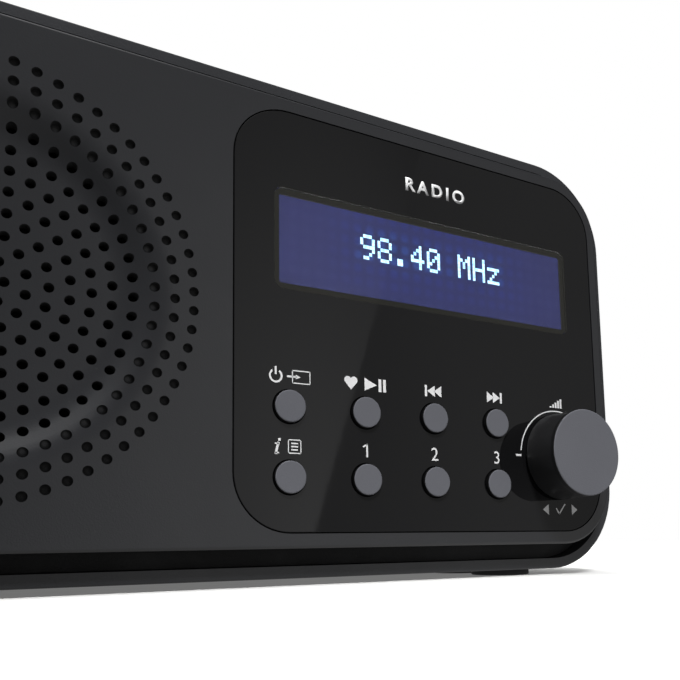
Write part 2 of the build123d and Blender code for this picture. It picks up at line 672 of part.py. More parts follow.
def make_speaker():
    x = GRILLE_X
    z = MID_Z
    front = SPEAKER_DEPTH
    plate_far = front + FLANGE_PLATE_T
    seat = front + BASKET_SEAT_DROP
    seat_r = CONE_SEAT_R
    wall = BASKET_WALL
    section = [
        (seat_r, front), (SPEAKER_R, front), (SPEAKER_R, plate_far), (seat_r + wall, plate_far),
        (seat_r + wall, seat + wall), (BASKET_END_R, BASKET_DEPTH + wall),
        (BASKET_END_R / 2, BASKET_DEPTH + wall),
        (BASKET_END_R / 2, BASKET_DEPTH), (BASKET_END_R - wall, BASKET_DEPTH),
        (seat_r - 1.5, seat + wall), (seat_r - 1.5, seat), (seat_r, seat),
    ]
    basket = spin(section, x, z)
    for px, pz in speaker_screw_points():
        basket += rod(SPEAKER_EAR_R, px, pz, front, plate_far)
    window_mid = (seat + BASKET_DEPTH) / 2 + 0.5
    window_r = (seat_r + BASKET_END_R) / 2
    for quarter in range(4):
        window = Pos(window_r, 0, 0) * Box(SPEAKER_R - BASKET_END_R, BASKET_WINDOW_H, BASKET_WINDOW_W)
        basket -= Pos(x, Y_FACE + window_mid, z) * Rot(0, 90 * quarter, 0) * window
    basket -= [rod(SMALL_SCREW_R + SLIP, px, pz, 0, plate_far + 1) for px, pz in speaker_screw_points()]
    export("speaker_basket", basket)

    washer_near = BASKET_DEPTH + wall
    washer_far = washer_near + WASHER_T
    magnet_far = washer_far + MAGNET_T
    export("speaker_top_plate", tube(WASHER_R, COIL_R + 0.7, x, z, washer_near, washer_far))
    export("speaker_magnet", tube(MAGNET_R, MAGNET_BORE_R, x, z, washer_far, magnet_far))
    yoke = rod(WASHER_R, x, z, magnet_far, magnet_far + YOKE_T)
    export("speaker_yoke", yoke + rod(POLE_R, x, z, washer_near, magnet_far))

    cone_back = BASKET_DEPTH - CONE_NECK
    rim_r = seat_r - ROLL_INSET - ROLL_R - ROLL_LIP / 2
    steepness = (cone_back - seat) / (rim_r - COIL_R)
    cone = [(COIL_R, cone_back), (rim_r, seat), (rim_r, seat + CONE_T), (COIL_R, cone_back + CONE_T)]
    export("speaker_cone", spin(cone, x, z))
    export("voice_coil", tube(COIL_R, COIL_R - COIL_WALL, x, z, cone_back - 0.5, washer_far + 1))
    cap_r = COIL_R + 2.0
    cap_rim = cone_back - 2.0 * steepness - SEAT_FIT
    cap = [
        (0, cap_rim - CAP_H), (cap_r * 0.6, cap_rim - 0.75 * CAP_H), (cap_r, cap_rim - CAP_T),
        (cap_r, cap_rim), (cap_r * 0.55, cap_rim - 0.75 * CAP_H + CAP_T), (0, cap_rim - CAP_H + CAP_T),
    ]
    export("speaker_dust_cap", spin(cap, x, z))
    spider_depth = BASKET_DEPTH - SPIDER_LIFT
    flare = (seat_r - 1.5 - BASKET_END_R + wall) / (BASKET_DEPTH - seat - wall)
    spider_r = BASKET_END_R - wall + flare * (SPIDER_LIFT - SPIDER_T) - SLIP
    export("speaker_spider", tube(spider_r, COIL_R, x, z, spider_depth, spider_depth + SPIDER_T))
    export("speaker_surround", spin(surround_outline(seat_r, seat), x, z))

    gasket_near = COVER_T
    cloth_near = front - CLOTH_T
    export("speaker_gasket", tube(SPEAKER_R, SPEAKER_R - GASKET_W, x, z, gasket_near, cloth_near))
    export("grille_cloth", rod(SPEAKER_R, x, z, cloth_near, front))


# ================================================================ main board, sockets and wiring
def main_board_span():
    points = main_post_points()
    margin = MAIN_POST_R + 1.0
    return points[0][0] - margin, points[-1][0] + margin


def make_main_board():
    left, right = main_board_span()
    mid = (left + right) / 2
    far = MAIN_DEPTH + BOARD_T
    board = slab(right - left, MAIN_H, 1.5, mid, MID_Z, MAIN_DEPTH, far)
    board -= [rod(SMALL_SCREW_R + SLIP, x, z, 0, far + 1) for x, z in main_post_points()]
    export("main_board", board)
    shield_z = MID_Z + MAIN_H / 2 - SHIELD_H / 2 - 3
    shield = slab(SHIELD_W, SHIELD_H, 1, mid, shield_z, far, far + SHIELD_T)
    shield -= slab(SHIELD_W - 1, SHIELD_H - 1, 0.5, mid, shield_z, far - 1, far + SHIELD_T - 0.5)
    export("tuner_shield", shield)
    pitch = 2 * CAPACITOR_R + 2
    cap_z = MID_Z - MAIN_H / 2 + CAPACITOR_R + 4
    caps = [rod(CAPACITOR_R, mid + (i - 1) * pitch, cap_z, far, far + CAPACITOR_H) for i in range(3)]
    export("capacitors", group(caps))
    near = BOARD_DEPTH + BOARD_T
    export("ribbon_cable", slab(RIBBON_W, RIBBON_T, 0, mid, MID_Z + 2, near, MAIN_DEPTH))


def make_sockets():
    phones_z = MID_Z + PHONES_RISE
    power_z = MID_Z - POWER_DROP
    inside = BACK - BACK_WALL - 0.1
    body_near = BACK - PHONES_DEPTH - 1.0
    phones = slab(9, 8, 0.4, SOCKET_X, phones_z, body_near, inside)
    phones += rod(PHONES_NOSE_R, SOCKET_X, phones_z, inside - 1, BACK)
    phones -= rod(PHONES_R, SOCKET_X, phones_z, BACK - PHONES_DEPTH, BACK + 1)
    export("headphone_socket", phones)
    shell = slab(POWER_W, POWER_H, 1.1, SOCKET_X, power_z, body_near, BACK)
    wall = 2 * POWER_WALL
    shell -= slab(POWER_W - wall, POWER_H - wall, 0.8, SOCKET_X, power_z, BACK - POWER_DEPTH, BACK + 1)
    tongue = slab(0.7, POWER_H - 2.6, 0, SOCKET_X, power_z, BACK - POWER_DEPTH - 0.5, BACK - 1.2)
    export("power_socket", shell + tongue)
    low = power_z - POWER_H / 2 - 2
    high = phones_z + 6
    board = slab(11, high - low, 1, SOCKET_X, (low + high) / 2, body_near - 1.2, body_near)
    export("socket_board", board)


def wire(points):
    """Insulated lead: straight runs joined by arcs as large as the runs allow."""
    places = [Vector(*p) for p in points]
    bends = []
    for before, here, after in zip(places, places[1:], places[2:]):
        run_in = here - before
        run_out = after - here
        half_turn = radians(run_in.get_angle(run_out)) / 2
        bends.append(0.45 * min(run_in.length, run_out.length) / tan(half_turn))
    print("bend radii", [round(bend, 1) for bend in bends])
    path = FilletPolyline(*places, radius=bends)
    return sweep(Plane(origin=path @ 0, z_dir=path % 0) * Circle(WIRE_R), path)


def at(x, depth, z):
    return (x, Y_FACE + depth, z)


def make_wires():
    left, right = main_board_span()
    pad = MAIN_DEPTH + BOARD_T + WIRE_R
    start_x = GRILLE_X + BASKET_END_R
    gap = left - start_x
    for name, side in (("speaker_lead_positive", 1), ("speaker_lead_negative", -1)):
        z = MID_Z + side * 1.5
        export(name, wire([
            at(start_x + 2.7, BASKET_DEPTH - 0.8, z),
            at(start_x + 0.22 * gap, BASKET_DEPTH + 2.0, z),
            at(start_x + 0.42 * gap, BASKET_DEPTH + 4.0, z - 1.5),
            at(start_x + 0.63 * gap, BASKET_DEPTH + 4.5, z - 4.0),
            at(start_x + 0.84 * gap, BASKET_DEPTH + 3.0, z - 5.0),
            at(left + 1.5, pad + 0.8, z - 5.5),
            at(left + 6.0, pad, z - 6.5),
        ]))
    start = REBATE_FRONT - REBATE_WALL - BUSH_NOSE_L
    board_top = MID_Z + MAIN_H / 2
    export("aerial_lead", wire([
        at(AERIAL_X - 2.9, start, AERIAL_Z),
        at(AERIAL_X - 2.9, start - 5.0, AERIAL_Z),
        at(AERIAL_X - 4.4, start - 9.5, AERIAL_Z - 3.4),
        at(AERIAL_X - 7.4, start - 11.5, AERIAL_Z - 8.8),
        at(AERIAL_X - 10.6, start - 12.0, AERIAL_Z - 14.6),
        at(right - 12.0, pad + 2.0, board_top + 0.6),
        at(right - 12.5, pad, board_top - 4.0),
    ]))


# ================================================================ battery bay
def make_battery_tray():
    near = BAY_FLOOR - TRAY_WALL
    far = BACK - BACK_WALL
    grow = 2 * TRAY_WALL
    tray = slab(BAY_W + grow, BAY_H + grow, 1, PANEL_X, MID_Z, near, far)
    tray -= slab(BAY_W, BAY_H, 0, PANEL_X, MID_Z, BAY_FLOOR, far + 1)
    span = BAY_W / 2 + TRAY_WALL + 1
    notch = bar_x(HINGE_R + DOOR_GAP, PANEL_X - span, PANEL_X + span, hinge_depth(), hinge_z())
    return tray - notch


def cell_heights():
    pitch = 2 * (CELL_R + CELL_PLAY)
    low = MID_Z - BAY_H / 2 + pitch / 2
    return [low + i * pitch for i in range(CELL_COUNT)]


def make_contacts():
    """Flat plates against one end wall, bowed leaf springs against the other, cell by cell."""
    contacts = []
    mid_depth = BAY_FLOOR + BAY_D / 2
    half = BAY_W / 2
    for i, z in enumerate(cell_heights()):
        side = 1 if i % 2 else -1
        plate_x = PANEL_X + side * (half - CONTACT_T / 2)
        contacts.append(slab(CONTACT_T, 9, 0, plate_x, z, mid_depth - 5, mid_depth + 5))
        wall_x = PANEL_X - side * half
        bow = [(0, -5), (0, 5), (CONTACT_T, 5), (CONTACT_T, 3.5), (2.8, 1.2)]
        bow += [(u, -v) for u, v in reversed(bow[2:])]
        outline = [(wall_x + side * u, mid_depth + v + Y_FACE) for u, v in bow]
        hollow = [(0.45, -2.8), (0.45, 2.8), (2.3, 0.8), (2.3, -0.8)]
        inner = [(wall_x + side * u, mid_depth + v + Y_FACE) for u, v in hollow]
        profile = make_face(Polyline(*outline, close=True)) - make_face(Polyline(*inner, close=True))
        contacts.append(extrude(Pos(0, 0, z - 3) * profile, 6, dir=(0, 0, 1)))
    export("battery_contacts", group(contacts))


def make_battery_door():
    lap = 2 * (DOOR_LAP - DOOR_GAP)
    w = BAY_W + lap
    h = BAY_H + lap
    door = slab(w, h, 0, PANEL_X, MID_Z, BACK - DOOR_T, BACK)
    low = MID_Z - h / 2
    door -= slab(w + 2, 2 * HINGE_R, 0, PANEL_X, low, BACK - DOOR_T - 1, BACK + 1)
    half = w / 2
    door += bar_x(HINGE_R, PANEL_X - half, PANEL_X + half, hinge_depth(), hinge_z())
    reach = half + HINGE_PIN_L
    door += bar_x(HINGE_PIN_R, PANEL_X - reach, PANEL_X + reach, hinge_depth(), hinge_z())
    ribs = [slab(12, 1.0, 0, PANEL_X, MID_Z + h / 2 - 5 - 2 * i, BACK - 0.4, BACK + 1) for i in range(4)]
    return door - ribs


# ================================================================ aerial
def make_aerial_base():
    bush_near = REBATE_FRONT - REBATE_WALL - BUSH_NOSE_L
    bush = tube(BUSH_R, SWIVEL_R + RUN_FIT, AERIAL_X, AERIAL_Z, bush_near, REBATE_FRONT)
    export("aerial_bush", bush)
    base_near = REBATE_FRONT + 0.4
    base_far = base_near + SWIVEL_HEAD_T
    swivel = rod(SWIVEL_R, AERIAL_X, AERIAL_Z, bush_near - 1, base_near + 0.5)
    swivel += rod(SWIVEL_HEAD_R, AERIAL_X, AERIAL_Z, base_near, base_far)
    pivot = (AERIAL_X, Y_FACE + AERIAL_DEPTH)
    gap = TONGUE_T / 2 + 0.25
    for side in (-1, 1):
        z = AERIAL_Z + side * (gap + FORK_CHEEK_T / 2)
        cheek = Pos(*pivot, z) * Cylinder(FORK_R, FORK_CHEEK_T)
        foot = AERIAL_DEPTH - base_near
        cheek += Pos(pivot[0], pivot[1] - foot / 2, z) * Box(2 * FORK_R, foot, FORK_CHEEK_T)
        swivel += cheek & rod(SWIVEL_HEAD_R, AERIAL_X, AERIAL_Z, base_near, BACK)
    swivel -= Pos(*pivot, AERIAL_Z) * Cylinder(PIVOT_R + SEAT_FIT, 20)
    export("aerial_swivel", swivel)
    pin_l = 2 * (gap + FORK_CHEEK_T) - 0.6
    export("aerial_pivot_pin", Pos(*pivot, AERIAL_Z) * Cylinder(PIVOT_R, pin_l))


def make_aerial_tubes():
    start = AERIAL_X - FORK_R - 1.0
    end = start - TUBE_L
    plug = start - 3.0
    shape = bar_x(TUBE_R, end, start, AERIAL_DEPTH, AERIAL_Z)
    shape -= bar_x(TUBE_R - TUBE_WALL, end - 1, plug, AERIAL_DEPTH, AERIAL_Z)
    pivot = (AERIAL_X, Y_FACE + AERIAL_DEPTH, AERIAL_Z)
    tongue = Pos(*pivot) * Cylinder(TONGUE_R, TONGUE_T)
    tongue_l = AERIAL_X - start + 0.5
    tongue += Pos(AERIAL_X - tongue_l / 2, pivot[1], AERIAL_Z) * Box(tongue_l, 2 * TONGUE_R, TONGUE_T)
    shape += tongue & bar_x(TUBE_R, start - 1, AERIAL_X + TUBE_R, AERIAL_DEPTH, AERIAL_Z)
    shape -= Pos(*pivot) * Cylinder(PIVOT_R + RUN_FIT, 20)
    export("aerial_section_1", shape)
    outer = TUBE_R
    for number in range(2, TUBE_COUNT + 1):
        outer -= TUBE_WALL + RUN_FIT
        near = plug - 0.5 * (number - 1)
        far = end - TUBE_STEP * (number - 1)
        last = number == TUBE_COUNT
        if last:
            far -= TIP_L - 1.0
        shape = bar_x(outer, far, near, AERIAL_DEPTH, AERIAL_Z)
        if not last:
            shape -= bar_x(outer - TUBE_WALL, far - 1, near + 1, AERIAL_DEPTH, AERIAL_Z)
        export("aerial_section_" + str(number), shape)
    tip_near = end - TUBE_STEP * (TUBE_COUNT - 1)
    tip = bar_x(TUBE_R, tip_near - TIP_L, tip_near, AERIAL_DEPTH, AERIAL_Z)
    tip = fillet(tip.faces().sort_by(Axis.X)[0].edges(), 1.0)
    export("aerial_tip", tip - bar_x(outer + SEAT_FIT, far, tip_near + 1, AERIAL_DEPTH, AERIAL_Z))


# ================================================================ fasteners
def make_screws():
    well = NECK_BACK + SLIP + POST_WEB
    case = [screw(x, z, well, CASE_SCREW_L, CASE_SCREW_R, CASE_SCREW_HEAD_R, CASE_SCREW_HEAD_H)
            for x, z in case_screw_points()]
    export("case_screws", group(case))
    small = (SMALL_SCREW_L, SMALL_SCREW_R, SMALL_SCREW_HEAD_R, SMALL_SCREW_HEAD_H)
    seat = SPEAKER_DEPTH + FLANGE_PLATE_T
    export("speaker_screws", group([screw(x, z, seat, *small) for x, z in speaker_screw_points()]))
    seat = BOARD_DEPTH + BOARD_T
    export("control_board_screws", group([screw(x, z, seat, *small) for x, z in board_screw_points()]))
    # these go in from the front of the main board
    main = []
    for x, z in main_post_points():
        shank = rod(SMALL_SCREW_R, x, z, MAIN_DEPTH, MAIN_DEPTH + SMALL_SCREW_L)
        head = rod(SMALL_SCREW_HEAD_R, x, z, MAIN_DEPTH - SMALL_SCREW_HEAD_H, MAIN_DEPTH)
        main.append(shank + fillet(front_edges(head), 0.5))
    export("main_board_screws", group(main))


# ================================================================ the whole radio
export("front_cover", make_front_cover())
export("mid_frame", make_mid_frame())
export("rear_shell", make_rear_shell())
export("rubber_feet", make_feet())
export("control_panel", make_control_panel())
make_display()
export("control_board", make_control_board())
for name, point in zip(BUTTON_NAMES, button_points()):
    export(name, make_button(*point))
export("tact_switches", make_switches())
make_knob()
make_encoder()
make_speaker()
make_main_board()
make_sockets()
make_wires()
export("battery_tray", make_battery_tray())
make_contacts()
export("battery_door", make_battery_door())
make_aerial_base()
make_aerial_tubes()
make_screws()
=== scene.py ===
import json
from math import atan2, cos, pi, radians, sin

import bmesh
import bpy
from mathutils import Matrix, Vector


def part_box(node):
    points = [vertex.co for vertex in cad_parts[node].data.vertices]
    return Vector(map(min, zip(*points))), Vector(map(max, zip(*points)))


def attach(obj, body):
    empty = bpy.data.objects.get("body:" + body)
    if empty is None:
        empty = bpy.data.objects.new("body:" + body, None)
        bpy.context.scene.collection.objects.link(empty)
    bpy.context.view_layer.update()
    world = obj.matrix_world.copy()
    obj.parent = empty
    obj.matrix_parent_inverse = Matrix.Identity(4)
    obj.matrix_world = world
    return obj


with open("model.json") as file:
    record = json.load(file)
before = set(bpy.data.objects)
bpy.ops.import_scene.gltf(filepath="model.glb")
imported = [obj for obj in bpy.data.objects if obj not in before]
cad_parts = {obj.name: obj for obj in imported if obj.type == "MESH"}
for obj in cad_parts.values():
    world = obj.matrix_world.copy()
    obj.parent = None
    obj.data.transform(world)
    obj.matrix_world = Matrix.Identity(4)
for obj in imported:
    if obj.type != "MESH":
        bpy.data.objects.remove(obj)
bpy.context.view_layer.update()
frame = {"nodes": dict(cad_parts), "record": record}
MM = 0.001

# ------------------------------------------------------------------ places read from the frame
PANEL_LOW, PANEL_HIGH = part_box("control_panel")
FACE_Y = PANEL_LOW.y
KNOB_LOW, KNOB_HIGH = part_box("knob_body")
LCD_LOW, LCD_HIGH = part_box("lcd_cell")

READING = "98.40 MHz"
CELL_PITCH = 4.48 * MM       # from one character to the next
DOT_X = CELL_PITCH / 6
DOT_Z = 0.85 * MM
DOT_T = 0.05 * MM
DOT_FILL = 0.92              # the lit share of a dot's cell, each way
LCD_WAVE = 0.5               # millimetres to a radian of the display's grid
WINDING_WAVE = 0.3           # and of the voice coil's turns
READING_W = len(READING) * CELL_PITCH - DOT_X
READING_H = 7 * DOT_Z
READING_RISE = 2.05 * MM     # the reading's middle above the display's


def middle(low, high):
    """The centre of a box, as (x, z)."""
    return (low.x + high.x) / 2, (low.z + high.z) / 2


def node_middle(node):
    return middle(*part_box(node))


# ------------------------------------------------------------------ shader building
def add_node(tree, kind, inputs=None, **settings):
    """A new node. Its inputs are given as values or as the sockets that feed them."""
    node = tree.nodes.new(kind)
    for name, value in settings.items():
        setattr(node, name, value)
    for name, value in (inputs or {}).items():
        if isinstance(value, bpy.types.NodeSocket):
            tree.links.new(value, node.inputs[name])
        else:
            node.inputs[name].default_value = value
    return node


def math_node(tree, operation, first, second=0.0, clamp=False):
    """The result of one Math operation."""
    return add_node(tree, "ShaderNodeMath", {0: first, 1: second}, operation=operation,
                    use_clamp=clamp).outputs[0]


def ramp_between(tree, value, low, high, to_low=0.0, to_high=1.0, smooth=False):
    """value, clamped and mapped from low..high to to_low..to_high."""
    kind = "SMOOTHSTEP" if smooth else "LINEAR"
    inputs = {"Value": value, "From Min": low, "From Max": high, "To Min": to_low, "To Max": to_high}
    return add_node(tree, "ShaderNodeMapRange", inputs, interpolation_type=kind).outputs[0]


def mix_colour(tree, share, first, second):
    """first, turning into second as share goes from 0 to 1."""
    node = tree.nodes.new("ShaderNodeMix")
    node.data_type = "RGBA"
    for index, value in ((0, share), (6, first), (7, second)):
        if isinstance(value, bpy.types.NodeSocket):
            tree.links.new(value, node.inputs[index])
        else:
            node.inputs[index].default_value = value
    return node.outputs[2]


def rgb(code):
    """A display colour such as "2a2a2c" as a linear colour."""
    parts = [int(code[i:i + 2], 16) / 255 for i in (0, 2, 4)]
    linear = [((p + 0.055) / 1.055) ** 2.4 if p > 0.04045 else p / 12.92 for p in parts]
    return (*linear, 1.0)


def new_group(name, inputs, outputs):
    """A shader node group with named inputs and outputs, and its two end nodes."""
    tree = bpy.data.node_groups.new(name, "ShaderNodeTree")
    for label, kind, value in inputs:
        socket = tree.interface.new_socket(label, in_out="INPUT", socket_type=kind)
        if value is not None:
            socket.default_value = value
    for label, kind in outputs:
        tree.interface.new_socket(label, in_out="OUTPUT", socket_type=kind)
    return tree, tree.nodes.new("NodeGroupInput"), tree.nodes.new("NodeGroupOutput")


FLOAT, VECTOR = "NodeSocketFloat", "NodeSocketVector"


def make_moulded_grain():
    """Spark-eroded plastic: fine rounded grain, a broad drift of tone and a few polished patches."""
    inputs = [("Vector", VECTOR, None), ("Grain Size", FLOAT, 0.35), ("Drift Size", FLOAT, 40.0)]
    outputs = [("Height", FLOAT), ("Tone", FLOAT), ("Polish", FLOAT)]
    tree, start, end = new_group("moulded_grain", inputs, outputs)
    per_metre = math_node(tree, "DIVIDE", 1000.0, start.outputs["Grain Size"])
    broad = math_node(tree, "DIVIDE", 1000.0, start.outputs["Drift Size"])
    place = start.outputs["Vector"]
    pits = add_node(tree, "ShaderNodeTexVoronoi", {"Vector": place, "Scale": per_metre}, feature="SMOOTH_F1")
    fuzz = add_node(tree, "ShaderNodeTexNoise", {"Vector": place, "Scale": per_metre, "Detail": 3.0})
    drift = add_node(tree, "ShaderNodeTexNoise", {"Vector": place, "Scale": broad, "Detail": 4.0})
    rub = add_node(tree, "ShaderNodeTexNoise", {"Vector": place, "Scale": broad, "Detail": 8.0,
                                                "Roughness": 0.7, "Distortion": 1.2})
    height = math_node(tree, "ADD", pits.outputs["Distance"], fuzz.outputs[0])
    tree.links.new(height, end.inputs["Height"])
    tree.links.new(ramp_between(tree, drift.outputs[0], 0.3, 0.7), end.inputs["Tone"])
    tree.links.new(ramp_between(tree, rub.outputs[0], 0.45, 0.75), end.inputs["Polish"])
    return tree


def make_dust_specks():
    """Sparse dust: small specks, thicker where the surface faces up."""
    inputs = [("Vector", VECTOR, None), ("Speck Spacing", FLOAT, 2.5), ("Amount", FLOAT, 0.5)]
    tree, start, end = new_group("dust_specks", inputs, [("Mask", FLOAT)])
    scale = math_node(tree, "DIVIDE", 1000.0, start.outputs["Speck Spacing"])
    cells = add_node(tree, "ShaderNodeTexVoronoi", {"Vector": start.outputs["Vector"], "Scale": scale,
                                                    "Randomness": 1.0})
    patches = add_node(tree, "ShaderNodeTexNoise", {"Vector": start.outputs["Vector"], "Scale": 60.0,
                                                    "Detail": 3.0})
    normal = add_node(tree, "ShaderNodeNewGeometry").outputs["Normal"]
    up = add_node(tree, "ShaderNodeSeparateXYZ", {0: normal}).outputs["Z"]
    facing = ramp_between(tree, up, 0.0, 1.0, 0.15, 1.0)
    specks = ramp_between(tree, cells.outputs["Distance"], 0.10, 0.04)
    held = ramp_between(tree, patches.outputs[0], 0.45, 0.65)
    mask = math_node(tree, "MULTIPLY", math_node(tree, "MULTIPLY", specks, held), facing)
    mask = math_node(tree, "MULTIPLY", mask, start.outputs["Amount"], clamp=True)
    tree.links.new(mask, end.inputs["Mask"])
    return tree


def make_drawn_lines():
    """The fine lines that rolling, turning or drawing leaves in metal, along the stretched axis."""
    inputs = [("Vector", VECTOR, None), ("Stretch", VECTOR, (1.0, 30.0, 30.0)), ("Line Size", FLOAT, 0.6)]
    tree, start, end = new_group("drawn_lines", inputs, [("Height", FLOAT), ("Tone", FLOAT)])
    scale = math_node(tree, "DIVIDE", 1000.0, start.outputs["Line Size"])
    ends = {0: start.outputs["Vector"], 1: start.outputs["Stretch"]}
    pulled = add_node(tree, "ShaderNodeVectorMath", ends, operation="MULTIPLY").outputs[0]
    lines = add_node(tree, "ShaderNodeTexNoise", {"Vector": pulled, "Scale": scale, "Detail": 5.0})
    stain = add_node(tree, "ShaderNodeTexNoise", {"Vector": start.outputs["Vector"], "Scale": 90.0,
                                                  "Detail": 5.0})
    tree.links.new(lines.outputs[0], end.inputs["Height"])
    tree.links.new(ramp_between(tree, stain.outputs[0], 0.35, 0.7), end.inputs["Tone"])
    return tree


def make_recess_shade():
    """Painted shade that darkens small pits, gaps and corners, the more closed in they are, as far out as
    the reach.
    """
    inputs = [("Reach", FLOAT, 2.0)]
    tree, start, end = new_group("recess_shade", inputs, [("Mask", FLOAT)])
    reach = math_node(tree, "MULTIPLY", start.outputs["Reach"], MM)
    openness = add_node(tree, "ShaderNodeAmbientOcclusion", {"Distance": reach}, samples=8, only_local=True)
    # painted shade: the less open a point is, the nearer the mask comes to 1
    tree.links.new(ramp_between(tree, openness.outputs["AO"], 0.90, 0.55), end.inputs["Mask"])
    return tree


GRAIN = make_moulded_grain()
DUST = make_dust_specks()
LINES = make_drawn_lines()
RECESS = make_recess_shade()


def use_group(tree, group, place, **values):
    """A shared effect with its own values in one material."""
    node = tree.nodes.new("ShaderNodeGroup")
    node.node_tree = group
    if place is not None:
        tree.links.new(place, node.inputs["Vector"])
    for name, value in values.items():
        node.inputs[name.replace("_", " ").title()].default_value = value
    return node.outputs


def start_material(name, **uniform):
    """A material with its Principled BSDF and the object's own coordinates."""
    made = bpy.data.materials.new(name)
    made.use_nodes = True
    tree = made.node_tree
    shader = tree.nodes["Principled BSDF"]
    for label, value in uniform.items():
        shader.inputs[label.replace("_", " ").title().replace("Ior", "IOR")].default_value = value
    place = add_node(tree, "ShaderNodeTexCoord").outputs["Object"]
    return made, tree, shader, place


WAVE_RADIANS = 20.0          # a Wave texture of scale 1 runs through this many radians in a metre


def fine_bands(tree, place, wave, direction):
    """Even bands across one axis. wave is in millimetres to a radian, so a band is 2 pi times as wide."""
    inputs = {"Vector": place, "Scale": 1000.0 / (wave * WAVE_RADIANS)}
    return add_node(tree, "ShaderNodeTexWave", inputs, bands_direction=direction).outputs[1]


def feed(tree, shader, **sources):
    for label, source in sources.items():
        tree.links.new(source, shader.inputs[label.replace("_", " ").title()])


def bump(tree, shader, height, depth, strength=1.0):
    """height, at that depth in millimetres, as the shader's bump."""
    node = add_node(tree, "ShaderNodeBump", {"Height": height, "Distance": depth * MM, "Strength": strength})
    tree.links.new(node.outputs[0], shader.inputs["Normal"])


def plastic(name, dark, light, rough=(0.38, 0.48), grain=0.35, depth=0.03, dust=0.5, dust_colour="b8b4ac",
            recess=None, **uniform):
    """Moulded plastic or rubber: grain, tone drift, polished patches, dust, and painted shade in its
    recesses.
    """
    made, tree, shader, place = start_material(name, **uniform)
    skin = use_group(tree, GRAIN, place, grain_size=grain)
    specks = use_group(tree, DUST, place, amount=dust)["Mask"]
    colour = mix_colour(tree, skin["Tone"], rgb(dark), rgb(light))
    roughness = ramp_between(tree, skin["Polish"], 0.0, 1.0, rough[1], rough[0])
    if recess is not None:
        # painted shade: recesses turn near-black and fully rough, however the light falls
        shade = use_group(tree, RECESS, None, reach=recess)["Mask"]
        colour = mix_colour(tree, shade, colour, rgb("040405"))
        roughness = math_node(tree, "MAXIMUM", roughness, shade)
    feed(tree, shader, base_color=mix_colour(tree, specks, colour, rgb(dust_colour)), roughness=roughness)
    bump(tree, shader, skin["Height"], depth)
    return made


def metal(name, dark, light, rough=(0.18, 0.34), stretch=(1.0, 30.0, 30.0), line=0.6, depth=0.01, **uniform):
    """Bare or plated metal with drawn lines and a light stain."""
    made, tree, shader, place = start_material(name, metallic=1.0, **uniform)
    lines = use_group(tree, LINES, place, stretch=stretch, line_size=line)
    feed(tree, shader, base_color=mix_colour(tree, lines["Tone"], rgb(light), rgb(dark)),
         roughness=ramp_between(tree, lines["Height"], 0.3, 0.7, *rough))
    bump(tree, shader, lines["Height"], depth)
    return made


# ------------------------------------------------------------------ finishes of the radio
def make_gloss_panel():
    """Hard-coated black acrylic: nearly a mirror, with orange peel too faint to see straight on."""
    made, tree, shader, place = start_material("gloss_black_acrylic", ior=1.44)
    skin = use_group(tree, GRAIN, place, grain_size=2.5, drift_size=60.0)
    specks = use_group(tree, DUST, place, amount=0.10, speck_spacing=4.0)["Mask"]
    colour = mix_colour(tree, skin["Tone"], rgb("131314"), rgb("151516"))
    feed(tree, shader, base_color=mix_colour(tree, specks, colour, rgb("4a4a4c")),
         roughness=ramp_between(tree, skin["Polish"], 0.0, 1.0, 0.05, 0.02))
    bump(tree, shader, skin["Height"], 0.0015)
    return made


def make_window():
    """Clear acrylic lens of the display, with the same gloss as the panel round it."""
    made, tree, shader, place = start_material("clear_display_lens", transmission_weight=1.0, ior=1.3)
    shader.inputs["Base Color"].default_value = rgb("f2f5fa")
    skin = use_group(tree, GRAIN, place, grain_size=2.5, drift_size=60.0)
    feed(tree, shader, roughness=ramp_between(tree, skin["Polish"], 0.0, 1.0, 0.02, 0.0))
    bump(tree, shader, skin["Height"], 0.001)
    return made


def make_display_border():
    """Printed border of the display: dark olive, with a painted glow of its own colour in place of the light
    that the clear lens in front keeps off it.
    """
    made, tree, shader, place = start_material("display_border_painted_glow", roughness=0.5)
    skin = use_group(tree, GRAIN, place, grain_size=0.3)
    colour = mix_colour(tree, skin["Tone"], rgb("2c2c28"), rgb("31302c"))
    # painted light: the border glows with its own colour, though nothing lights it there
    feed(tree, shader, base_color=colour, emission_color=colour)
    shader.inputs["Emission Strength"].default_value = 0.75
    bump(tree, shader, skin["Height"], 0.01)
    return made


GLOW_EDGE = 12 * MM          # the bluer field ends this far from the reading
GLOW_DRIFT = 1.0 * MM        # and its edge wanders this much
HALO = (2.2 * MM, -1.2 * MM)     # the brighter halo fades out and is full at these distances
RIM_FADE = (36 * MM, 39 * MM)    # the glass darkens between these distances from its middle


